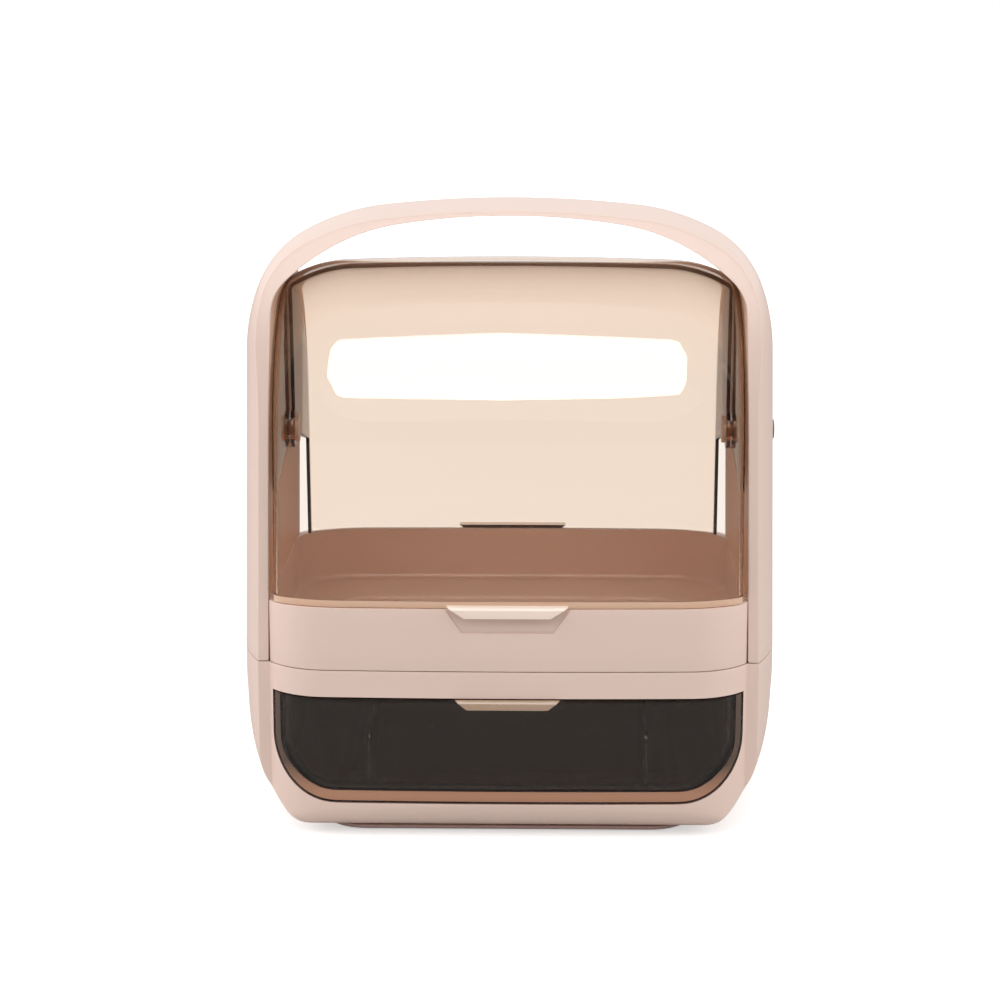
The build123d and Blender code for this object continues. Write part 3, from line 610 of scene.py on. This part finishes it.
def buildHousing():
    # Outlines stacked at their heights, given a wall, cut open for the drawer and closed by the deck.
    grid = np.stack([point(*housingOutline(h), h) for h in housingHeights()])
    piece = makePiece("lowerHousing", "base", pinkPlastic, "lower_housing", [(grid, True)],
                      caps=[grid[0]], wall=housing["wall"])
    openX, openZ = openingOutline()
    prism = point(openX, np.array(housing["cutY"])[:, None], openZ)
    joinWith(piece, makeSolid("opening", [(prism, True)], [prism[0], prism[1]]), "DIFFERENCE")
    deck = np.stack([point(*housingOutline(h), h) for h in (housing["deckLow"], housing["deckHigh"])])
    deck = deck * np.array([*housing["deckShare"], 1.0])
    roundEdges(piece, *housing["edges"])
    addSolid(piece, makeSolid("deck", [(deck, True)], [deck[0], deck[1]]))
    addSolid(piece, makeSolid("lip", [(openingLip(), True)]))
    print("lowerHousing finished with", len(piece.data.polygons), "faces")


buildHousing()
print("housing built")

# Upper tray: a bowed wall with a shallow finger scoop, a floor and a recess for small things
tray = dict(
    low=84.3, half=115.7, sideHalf=117.8, sideEnd=72.0, band=10.0, edges=(0.8, 3, 35),
    bowPoints=60, sidePoints=16,
    cavityHalf=116.0, cavityDepth=86.0, cavityEnd=62.0, cavityBand=9.0, floorZ=87.3, fillet=3.0, filletRows=7,
    recess=(90.0, 43.6, 23.0), recessRun=20.0, recessZ=85.8, recessRows=6,   # half width and both depths
    scoopWide=60.0, scoopFoot=44.0, scoopHeight=11.5, scoopDepth=1.4, scoopOver=2.0, scoopPast=6.0,
    insideLow=0.9, insidePast=1.0, insideTurn=0.1,     # which faces count as the inside
)


def planLoop(half, depth, endY, run, sideHalf=None, sideEnd=None):
    # Closed outline in plan: bowed front and back joined by straight sides, which may stand out a little.
    sideHalf = half if sideHalf is None else sideHalf
    sideEnd = endY if sideEnd is None else sideEnd
    frontX = half * np.sin(np.linspace(-math.pi / 2, math.pi / 2, tray["bowPoints"]))
    frontY = -bowReach(frontX, half, depth, endY, run)
    sideY = np.concatenate([[-sideEnd], np.linspace(-sideEnd, sideEnd, tray["sidePoints"]), [sideEnd]])
    sideX = np.concatenate([[half], np.full(tray["sidePoints"], sideHalf), [half]])
    x = np.concatenate([frontX, sideX, frontX[::-1], -sideX])
    y = np.concatenate([frontY, sideY, -frontY, -sideY])
    return x, y


def buildTray():
    # Outlines stacked from the foot up the outside, over the rim and down the inside. A quarter circle
    # leads into the floor, f * (1 - cos a) in and f * (1 - sin a) up, and another one into the recess.
    low, high, floorZ = tray["low"], box["rimZ"], tray["floorZ"]
    half, depth, end = tray["cavityHalf"], tray["cavityDepth"], tray["cavityEnd"]
    outside = planLoop(tray["half"], box["bowDepth"], box["faceHalf"], box["bowRun"],
                       tray["sideHalf"], tray["sideEnd"])
    inside = planLoop(half, depth, end, box["bowRun"])
    rows = [(outside, low), (outside, low + tray["band"]), (outside, high - tray["band"]), (outside, high),
            (inside, high), (inside, high - tray["cavityBand"])]
    for a in np.linspace(0, math.pi / 2, tray["filletRows"]):
        inset = tray["fillet"] * (1 - math.cos(a))
        foot = planLoop(half - inset, depth - inset, end, box["bowRun"])
        rows.append((foot, floorZ + tray["fillet"] * (1 - math.sin(a))))
    edge = floorZ - tray["recessZ"]
    for a in np.linspace(0, math.pi / 2, tray["recessRows"]):
        grow = edge * (1 - math.sin(a))
        rounded = planLoop(*[size + grow for size in tray["recess"]], tray["recessRun"])
        rows.append((rounded, floorZ - edge * (1 - math.cos(a))))
    grid = np.stack([point(*plan, z) for plan, z in rows])
    piece = makePiece("upperTray", "base", pinkPlastic, "upper_tray", [(grid, True)],
                      caps=[grid[0], grid[-1]])
    cutScoops(piece)
    roundEdges(piece, *tray["edges"])
    # The faces that count as the inside get the brighter, warmer pink: painted light standing in for the
    # light through the clear covers.
    middle, normal = faceValues(piece, "center") / millimetre, faceValues(piece, "normal")
    inwards = (middle * normal)[:, :2].sum(1) < -tray["insideTurn"]
    within = (middle[:, 2] < high - tray["insideLow"]) & (np.abs(middle[:, 1]) < depth + tray["insidePast"])
    finishFaces(piece, pinkPaintedLight, within & ((normal[:, 2] > tray["insideTurn"]) | inwards))
    print("upperTray finished with", len(piece.data.polygons), "faces")


def cutScoops(piece):
    # A shallow trapezoid out of the front and the back wall, under the covers' tabs.
    low, high = box["rimZ"] - tray["scoopHeight"], box["rimZ"] + tray["scoopOver"]
    foot, wide = tray["scoopFoot"] / 2, tray["scoopWide"] / 2
    spread = wide + (wide - foot) * tray["scoopOver"] / tray["scoopHeight"]
    face = point(np.array([-spread, -foot, foot, spread]), 0.0, np.array([high, low, low, high]))
    for side in (-1, 1):
        reach = [side * (box["bowDepth"] - tray["scoopDepth"]), side * (box["bowDepth"] + tray["scoopPast"])]
        cutter = np.stack([face + np.array([0, y, 0]) for y in reach])
        joinWith(piece, makeSolid("scoop", [(cutter, True)], [cutter[0], cutter[1]]), "DIFFERENCE")


buildTray()
print("tray built")

# Pull tabs, on both covers and the drawer: a lip that runs out and turns down
tabs = dict(out=97.0, thick=1.4, shoulder=1.2, columns=9)


def pullTab(wide, foot, topZ, rootY, drop, facing):
    # The tab's profile in y and z, drawn out to both sides. Its half width is
    # wide / 2 - (wide - foot) / 2 * (top - z) / drop.
    out, thick, shoulder = tabs["out"], tabs["thick"], tabs["shoulder"]
    y = np.array([-rootY, -(out - shoulder), -out, -out, -(out - thick), -(out - thick), -rootY])
    z = np.array([topZ, topZ, topZ - shoulder, topZ - drop, topZ - drop, topZ - thick, topZ - thick])
    halfWide = wide / 2 - (wide - foot) / 2 * (topZ - z) / drop
    share = np.linspace(-1, 1, tabs["columns"])[:, None]
    grid = point(share * halfWide, facing * y, z)
    return makeSolid("tab", [(grid, True)], [grid[0], grid[-1]])


# Covers: a bowed panel turned about the pivot axis, a straight skirt leaning outwards and two cheeks
cover = dict(
    half=113.4, radius=87.0, cheek=75.3, run=32.5, fillet=7.0, bow=2250.0, wall=1.8, edges=(0.35, 2, 40),
    nest=2.4,                # how much smaller the inner cover is
    flare=4.0,               # degrees the skirt leans out
    frontPast=2.0, rearPast=5.0,   # degrees each dome goes on past the top
    hub=10.0, hole=4.05, hubLow=180.0, returnIn=67.3, footZ=163.0, cheekGap=0.8,
    restZ=115.0, paintedRimHigh=2.4, tabWide=58.0, tabFoot=41.0, tabDrop=5.4, tabRoot=0.9, tabPast=0.4,
    bowPoints=22, filletPoints=10, cheekPoints=9,
    domeRows=58, hubRows=5, slopeRows=8, skirtRows=18, ringPoints=30,
)


def coverSection(inset):
    # Half section through the axis as x and radius, and the radius where its cheek starts. The bow is
    # r = depth - (R - sqrt(R^2 - x^2)), then follow its round end, c + r * (sin a, cos a), a fillet
    # tangent to that and to the cheek, and the straight cheek.
    half, depth, endR = cover["half"] - inset, cover["radius"] - inset, cover["cheek"] - inset
    longR, fillet = cover["bow"] - inset, cover["fillet"] - inset
    startX, cx, cy, arcR = bowEnd(half, depth, endR, cover["run"], longR)
    fx = half - fillet
    fy = cy + math.sqrt((arcR - fillet) ** 2 - (fx - cx) ** 2)
    meet = math.atan2(fx - cx, fy - cy)
    x = np.linspace(0, startX, cover["bowPoints"])
    r = depth - (longR - np.sqrt(longR**2 - x**2))
    a = np.linspace(math.asin(startX / longR), meet, cover["bowPoints"])[1:]
    b = np.linspace(meet, math.pi / 2, cover["filletPoints"])[1:]
    c = np.linspace(fy, cover["hub"], cover["cheekPoints"])[1:]
    x = np.concatenate([x, cx + arcR * np.sin(a), fx + fillet * np.sin(b), np.full(len(c), half)])
    r = np.concatenate([r, cy + arcR * np.cos(a), fy + fillet * np.cos(b), c])
    return x, r, fy


def placeCover(grid, facing):
    # Turned about the pivot axis by the flare, (y cos f + z sin f, -y sin f + z cos f), then mirrored
    # for the cover that opens to the back.
    flare = math.radians(cover["flare"])
    y = grid[..., 1] * math.cos(flare) + grid[..., 2] * math.sin(flare)
    z = -grid[..., 1] * math.sin(flare) + grid[..., 2] * math.cos(flare) + box["pivotZ"]
    return point(grid[..., 0], facing * y, z)


def coverSkirt(x, r, cheekTop, cheekX, hubAngles):
    # Below the axis the section runs straight down. The inner end of its cheek follows the hub's circle,
    # hub * (cos a, sin a), and then slopes out. The lower edge is level once the flare has turned it:
    # z cos f = rest - pivot + y sin f.
    hub, pivot = cover["hub"], box["pivotZ"]
    flare = math.radians(cover["flare"])
    upper = hub * np.sin(hubAngles)
    slope = np.linspace(upper[-1], pivot - cover["footZ"], cover["slopeRows"])[1:]
    outwards = (cover["returnIn"] - hub) * (slope - upper[-1]) / (slope[-1] - upper[-1])
    inner = np.concatenate([hub * np.cos(hubAngles), hub + outwards])
    inner = np.minimum(inner, cheekTop - cover["cheekGap"])
    onCheek = np.clip((cheekTop - r) / (cheekTop - hub), 0, 1) * (np.abs(x) > cheekX - 1e-6)
    reach = r + onCheek * (inner[:, None] - hub)
    top = point(x, -reach, -np.concatenate([upper, slope])[:, None])
    last = top[-1]
    lowest = (cover["restZ"] - pivot + last[:, 1] * math.sin(flare)) / math.cos(flare)
    share = np.linspace(0, 1, cover["skirtRows"])[1:, None]
    skirt = point(last[:, 0], last[:, 1], last[:, 2] + (lowest - last[:, 2]) * share)
    return np.concatenate([top, skirt])


def buildCover(name, node, inset, past, facing):
    # The dome is the section turned about the axis, (x, -r cos a, r sin a), up from the straight skirt
    # and past the top by some degrees. Rings close the circle of the hubs round the pin holes. The rim's
    # outer face is at (radius + (pivot - rest) sin f) / cos f.
    x, r, cheekTop = coverSection(inset)
    x, r = np.concatenate([-x[:0:-1], x]), np.concatenate([r[:0:-1], r])
    hub, hole, flare, pivot = cover["hub"], cover["hole"], cover["flare"], box["pivotZ"]
    cheekX = cover["half"] - inset
    ringX, ringR = np.concatenate([[x[0]], x, [x[-1]]]), np.concatenate([[hole], r, [hole]])
    a = np.radians(np.linspace(0, 90 + past - flare, cover["domeRows"]))[:, None]
    dome = point(ringX, -ringR * np.cos(a), ringR * np.sin(a))
    hubAngles = np.linspace(0, math.asin((pivot - cover["hubLow"]) / hub), cover["hubRows"])
    patches = [(dome, False), (coverSkirt(x, r, cheekTop, cheekX, hubAngles), False)]
    turn = np.linspace(hubAngles[-1], math.radians(270 - past + flare), cover["ringPoints"])[1:]
    turn = np.concatenate([hubAngles, turn])
    for side in (-1, 1):
        ring = np.stack([point(side * cheekX, -q * np.cos(turn), -q * np.sin(turn)) for q in (hub, hole)])
        patches.append((ring, False))
    patches = [(placeCover(grid, facing), wrap) for grid, wrap in patches]
    piece = makePiece(name, node, amberClear, node, patches, wall=cover["wall"])
    lean = math.radians(flare)
    rim = (cover["radius"] - inset + (pivot - cover["restZ"]) * math.sin(lean)) / math.cos(lean)
    tab = pullTab(cover["tabWide"], cover["tabFoot"], cover["restZ"] + tabs["thick"], rim - cover["tabRoot"],
                  cover["tabDrop"], facing)
    joinWith(piece, tab, "UNION")
    roundEdges(piece, *cover["edges"])
    middle = faceValues(piece, "center") / millimetre
    # The front cover's lower rim gets the opaque golden band: painted light along its clear edge.
    if facing == 1:
        finishFaces(piece, amberRimGlow, middle[:, 2] < cover["restZ"] + cover["paintedRimHigh"])
    # Both covers' tabs get the opaque cream: painted highlight.
    finishFaces(piece, creamTabHighlight, np.abs(middle[:, 1]) > rim + cover["tabPast"])
    print(name, "finished with", len(piece.data.polygons), "faces")


buildCover("frontCover", "front_cover", 0.0, cover["frontPast"], 1)
buildCover("rearCover", "rear_cover", cover["nest"], cover["rearPast"], -1)
print("covers built")

# Drawer: a clear bowed D front with a pull tab, and a body set in behind its edge, in dense dark amber that
# paints the shade inside the bay
drawer = dict(
    half=113.8, low=18.2, high=70.2, corner=31.4, back=72.0, front=3.2, wall=2.6, setIn=5.4,
    sideRows=7, cornerRows=15, columns=61, depthRows=22, bodyGap=0.2,
    tabWide=50.0, tabFoot=39.0, tabDrop=4.4, tabRoot=1.6, tabPast=0.15,
    # Sizes of the thin strip that paints the lit lip of the opening on the drawer's face.
    paintedLipEdge=0.8, paintedLipLow=5.0, paintedLipSide=2.6, paintedLipFadeZ=45.0, paintedLipFadeRun=22.0,
    paintedLipProud=0.2, paintedLipDeep=0.6,
    dividerX=67.0, dividerThick=1.6, dividerTop=52.3, dividerFront=-88.5, dividerCorner=5.0,
    dividerGap=0.1, dividerPoints=8,
    frontEdges=(0.35, 2, 40), bodyEdges=(0.4, 2, 40), paintedLipEdges=(0.15, 2, 40), dividerEdges=(0.25, 2, 40),
)


def drawerRows(grow):
    # Heights and half widths of the D, smaller by grow all round: straight sides, then round lower
    # corners, half - c * (1 - cos a) at low + c * (1 - sin a).
    half, low, corner = drawer["half"] - grow, drawer["low"] + grow, drawer["corner"] - grow
    a = np.linspace(0, math.pi / 2, drawer["cornerRows"])[1:]
    side = np.linspace(drawer["high"], low + corner, drawer["sideRows"])
    z = np.concatenate([side, low + corner * (1 - np.sin(a))])
    return z, np.concatenate([np.full(len(side), half), half - corner * (1 - np.cos(a))])


def drawerEdge(grow):
    # The D's edge from the top left, down and along the bottom to the top right.
    z, half = drawerRows(grow)
    across = half[-1] * np.linspace(-1, 1, drawer["columns"])[1:-1]
    bottom = np.full(len(across), z[-1])
    return np.concatenate([-half, across, half[::-1]]), np.concatenate([z, bottom, z[::-1]])


def buildFront(share):
    # The D's rows spread over its width by a sine and laid on the bow, y = -bowReach(x), with a tab.
    z, half = drawerRows(0.0)
    x = half[:, None] * share
    face = point(x, -bowReach(x), z[:, None])
    panel = makePiece("drawerFront", "drawer", amberClear, "drawer_shell", [(face, False)],
                      wall=drawer["front"])
    tab = pullTab(drawer["tabWide"], drawer["tabFoot"], drawer["high"], box["bowDepth"] - drawer["tabRoot"],
                  drawer["tabDrop"], 1)
    joinWith(panel, tab, "UNION")
    roundEdges(panel, *drawer["frontEdges"])
    middle = faceValues(panel, "center") / millimetre
    # The drawer's tab gets the darker golden: painted shade.
    finishFaces(panel, amberTabShaded, middle[:, 1] < -box["bowDepth"] - drawer["tabPast"])


def buildPaintedLip():
    # A thin strip on the face round its sides and the bottom, from the D's edge inwards, that paints the lit
    # lip of the opening behind the clear front: painted light. Its width goes from the side width to the low
    # width by a smooth step downwards.
    outX, outZ = drawerEdge(drawer["paintedLipEdge"])
    inX, inZ = drawerEdge(drawer["paintedLipEdge"] + drawer["paintedLipLow"])
    slim = drawer["paintedLipSide"] / drawer["paintedLipLow"]
    width = slim + (1 - slim) * smoothStep((drawer["paintedLipFadeZ"] - outZ) / drawer["paintedLipFadeRun"])
    inX, inZ = outX + (inX - outX) * width, outZ + (inZ - outZ) * width
    front, rear = -drawer["paintedLipProud"], drawer["paintedLipDeep"]
    ring = [(outX, outZ, front), (inX, inZ, front), (inX, inZ, rear), (outX, outZ, rear)]
    bead = np.stack([point(x, out - bowReach(x), z) for x, z, out in ring], 1)
    makePiece("drawerPaintedLip", "drawer", paintedLipPlastic, "drawer_shell", [(bead, True)],
              caps=[bead[0], bead[-1]], edges=drawer["paintedLipEdges"])


def buildBody(share):
    # The smaller D at the back, and its edge carried from there to the front panel in straight lines.
    z, half = drawerRows(drawer["setIn"])
    x = half[:, None] * share
    back = point(x, drawer["back"], z[:, None])
    edgeX = np.concatenate([x[:, 0], x[-1, 1:-1], x[::-1, -1]])
    edgeZ = np.concatenate([z, np.full(len(share) - 2, z[-1]), z[::-1]])
    depth = np.linspace(0, 1, drawer["depthRows"])[:, None]
    startY = drawer["front"] + drawer["bodyGap"] - bowReach(edgeX)
    under = point(edgeX, startY + (drawer["back"] - startY) * depth, edgeZ)
    # The body is in the dense dark amber: painted shade of the unlit bay.
    makePiece("drawerBody", "drawer", amberBayShade, "drawer_shell",
              [(back, False), (under, False)], wall=drawer["wall"], edges=drawer["bodyEdges"])


def buildDividers():
    # Two plates that stand on the drawer's floor, their upper corners quarter circles.
    front, top, corner = drawer["dividerFront"], drawer["dividerTop"], drawer["dividerCorner"]
    rear = drawer["back"] - drawer["wall"] - drawer["bodyGap"]
    floorZ = drawer["low"] + drawer["setIn"] + drawer["wall"] + drawer["dividerGap"]
    a = np.linspace(0, math.pi / 2, drawer["dividerPoints"])
    early, late = corner * (1 - np.cos(a)), corner * (1 - np.sin(a))
    y = np.concatenate([[front], front + early, rear - late, [rear]])
    z = np.concatenate([[floorZ], top - late, top - early, [floorZ]])
    for name, side in (("left", -1), ("right", 1)):
        x = side * drawer["dividerX"] + drawer["dividerThick"] * np.array([-0.5, 0.5])[:, None]
        plate = point(x, y, z)
        # The plates get the dense dark amber too: painted shade of the bay.
        makePiece(name + "Divider", "drawer", amberBayShade, "drawer_divider_" + name,
                  [(plate, True)], caps=[plate[0], plate[1]], edges=drawer["dividerEdges"])


def buildDrawer():
    # The drawer's pieces, with columns spread by a sine, closest together at the sides.
    share = np.sin(np.linspace(-1, 1, drawer["columns"]) * math.pi / 2)
    buildFront(share)
    buildPaintedLip()
    buildBody(share)
    buildDividers()


buildDrawer()
print("drawer built")

# Small pieces keep their CAD shape and get their finish
# The liner's warmer pink is painted light, and the foot plate's darker pink is painted shade.
finishes = dict(arch_liner=linerAmberLit, foot_plate=footShadedPlastic, foot_pads=padRubber,
                base_screws=screwSteel, tray_screws=screwSteel, arch_screws=screwSteel)
# The pivot caps' dark brown is painted shade, and the pins' and spacers' brighter pink is painted light.
pairFinishes = dict(drawer_rail=pinPlastic, drawer_stop=pinPlastic, pivot_pin=pinkPaintedLight,
                    pivot_spacer=pinkPaintedLight, pivot_clip=screwSteel, pivot_cap=capShadedPlastic)
for node, material in pairFinishes.items():
    finishes.update({node + "_left": material, node + "_right": material})
for node, material in finishes.items():
    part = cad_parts[node]
    if not part.material_slots:
        part.data.materials.append(material)
    for slot in part.material_slots:
        slot.material = material
print("finishes given to", len(finishes), "small pieces")

# Studio: pale floor, soft overhead panel, white surroundings. Places and sizes are in metres.
studio = dict(
    floorHalf=30.0, floorShade=(0.68, 0.72), floorScale=3.0, floorRoughness=0.9,
    floorMirrored=0.52,                            # how much darker it is where a glossy surface mirrors it
    floorGlow=(0.5, 0.9), glowRun=(0.1, 2.2),      # near and far from the box, for rays from the eye
    floorClear=0.5, worldClear=0.15,               # how much of the glow is lost through clear plastic
    lightUp=(0.32, 0.97), upRun=(0.0, 0.9),        # light on the object, from the horizon to overhead
    behindLight=(0.08, 0.95), behindRun=(-0.2, 0.4),   # what glossy surfaces mirror, from front to back
    fills=dict(leftFill=((-1.65, 0.1, 0.8), 15.0), rightFill=((1.65, -0.1, 0.8), 10.0)),  # place and watts
    fillAim=(0.0, 0.0, 0.15), fillSize=(1.2, 1.4),
    cameraPlace=(0.018, -1.254, 0.4107), cameraTurn=(78.2, 0.0, 1.062), lens=90.396, sensor=36.0,
    cameraClip=(0.05, 100.0),
)
softbox = dict(
    place=(-0.036, -0.927, 1.314), aim=(-0.036, 0.0, 0.186),
    radiance=2.6, glint=6.5,                       # glint is what glossy surfaces mirror
    left=[(-0.50, -0.15), (-0.42, 0.35), (-0.27, 0.50)], top=[(0.0, 0.62)],
    right=[(0.27, 0.52), (0.36, 0.38), (0.46, 0.20), (0.45, -0.27), (0.34, -0.46)],
    bottom=[(0.20, -0.57), (0.0, -0.62), (-0.26, -0.57)],
)


def raysFromEye(tree):
    # Switches for rays that no matt surface has scattered yet: seen, which meet the surroundings
    # directly or through clear plastic, clear, those of them through plastic, and mirrored, which a
    # glossy surface has thrown back.
    path = addNode(tree, "ShaderNodeLightPath").outputs
    fresh = mathNode(tree, "LESS_THAN", path["Diffuse Depth"], 0.5)
    glossy = mathNode(tree, "GREATER_THAN", path["Glossy Depth"], 0.5)
    mirrored = mathNode(tree, "MULTIPLY", glossy, fresh)
    direct = mathNode(tree, "SUBTRACT", fresh, mirrored)
    through = mathNode(tree, "MAXIMUM", path["Is Camera Ray"], path["Is Transmission Ray"])
    return dict(seen=mathNode(tree, "MULTIPLY", through, direct), mirrored=mirrored,
                clear=mathNode(tree, "MULTIPLY", path["Is Transmission Ray"], direct))


def lessWhere(tree, switch, share, value=1.0):
    # The value less a share where the switch is on: value - share * switch.
    return mathNode(tree, "MULTIPLY_ADD", switch, -share, value)


def aimAt(thing, place, aim):
    # At the place, with its -Z axis to the aim: tilted by atan2(across, up) and turned by atan2(x, -y),
    # where x, y and up run from the aim to the place.
    x, y, up = (p - q for p, q in zip(place, aim))
    thing.location = place
    thing.rotation_euler = (math.atan2(math.hypot(x, y), up), 0.0, math.atan2(x, -y))


def buildSoftbox():
    # A flat glowing panel above the camera, its outline the listed points in its own plane. Its mirror
    # image is the highlight on the cover.
    outline = softbox["left"] + softbox["top"] + softbox["right"] + softbox["bottom"]
    mesh = bpy.data.meshes.new("softbox")
    mesh.from_pydata([(u, v, 0.0) for u, v in outline], [], [tuple(range(len(outline)))[::-1]])
    panel = addObject("softbox", mesh)
    aimAt(panel, softbox["place"], softbox["aim"])
    material, tree, shader = newMaterial("softboxGlow")
    shader.inputs["Base Color"].default_value = (0, 0, 0, 1)
    shader.inputs["Emission Color"].default_value = (1, 1, 1, 1)
    glow = mixValues(tree, "FLOAT", raysFromEye(tree)["mirrored"], softbox["radiance"], softbox["glint"])
    feed(tree, shader.inputs["Emission Strength"], glow)
    mesh.materials.append(material)
    panel.visible_camera = False


def buildFloor():
    # A square floor. Its colour is dimmer in mirrored rays, and its glow, which makes the background
    # white, grows with the distance from the box and is for rays from the eye alone.
    half = studio["floorHalf"]
    corners = [(-half, -half, 0), (half, -half, 0), (half, half, 0), (-half, half, 0)]
    floor = addObject("studioFloor", bpy.data.meshes.new("studioFloor"))
    floor.data.from_pydata(corners, [], [(0, 1, 2, 3)])
    material, tree, shader = newMaterial("paleFloor")
    rays = raysFromEye(tree)
    shade = mapRange(tree, addNoise(tree, studio["floorScale"]), *studio["floorShade"])
    dim = lessWhere(tree, rays["mirrored"], studio["floorMirrored"])
    feed(tree, shader.inputs["Base Color"], mathNode(tree, "MULTIPLY", shade, dim))
    shader.inputs["Roughness"].default_value = studio["floorRoughness"]
    shader.inputs["Specular IOR Level"].default_value = 0.0
    away = addNode(tree, "ShaderNodeVectorMath", operation="LENGTH")
    feed(tree, away.inputs[0], objectPlace(tree))
    far = mapRange(tree, away.outputs["Value"], *studio["floorGlow"], *studio["glowRun"], "SMOOTHSTEP")
    lit = lessWhere(tree, rays["clear"], studio["floorClear"], rays["seen"])
    feed(tree, shader.inputs["Emission Strength"], mathNode(tree, "MULTIPLY", lit, far))
    shader.inputs["Emission Color"].default_value = (1, 1, 1, 1)
    floor.data.materials.append(material)


def buildWorld():
    # White for rays from the eye, brighter overhead than at the horizon for light on the object, and
    # brighter behind than in front for what glossy surfaces mirror.
    world = bpy.data.worlds.new("studioWorld")
    bpy.context.scene.world = world
    world.use_nodes = True
    tree = world.node_tree
    tree.nodes.clear()
    rays = raysFromEye(tree)
    place = addNode(tree, "ShaderNodeTexCoord").outputs["Generated"]
    axes = addNode(tree, "ShaderNodeSeparateXYZ", Vector=place).outputs
    above = mapRange(tree, axes["Z"], *studio["lightUp"], *studio["upRun"])
    behind = mapRange(tree, axes["Y"], *studio["behindLight"], *studio["behindRun"])
    lit = mixValues(tree, "FLOAT", rays["mirrored"], above, behind)
    view = lessWhere(tree, rays["clear"], studio["worldClear"])
    strength = mixValues(tree, "FLOAT", rays["seen"], lit, view)
    sky = addNode(tree, "ShaderNodeBackground", Color=(1, 1, 1, 1), Strength=strength)
    addNode(tree, "ShaderNodeOutputWorld", Surface=sky.outputs[0])


def buildFills():
    # Two soft lamps at the sides, which no glossy surface shows.
    for name, (place, power) in studio["fills"].items():
        light = bpy.data.lights.new(name, "AREA")
        light.shape = "RECTANGLE"
        light.size, light.size_y = studio["fillSize"]
        light.energy = power
        lamp = addObject(name, light)
        aimAt(lamp, place, studio["fillAim"])
        lamp.visible_glossy = False


def placeCamera():
    # The photograph's viewing angle, turned in degrees about X, Y and Z.
    camera = addObject("camera", bpy.data.cameras.new("camera"))
    camera.location = studio["cameraPlace"]
    camera.rotation_euler = [math.radians(turn) for turn in studio["cameraTurn"]]
    camera.data.lens = studio["lens"]
    camera.data.sensor_width = studio["sensor"]
    camera.data.clip_start, camera.data.clip_end = studio["cameraClip"]
    bpy.context.scene.camera = camera
    bpy.context.scene.view_settings.view_transform = "Standard"


buildFloor()
buildWorld()
buildFills()
buildSoftbox()
placeCamera()
print("studio built")
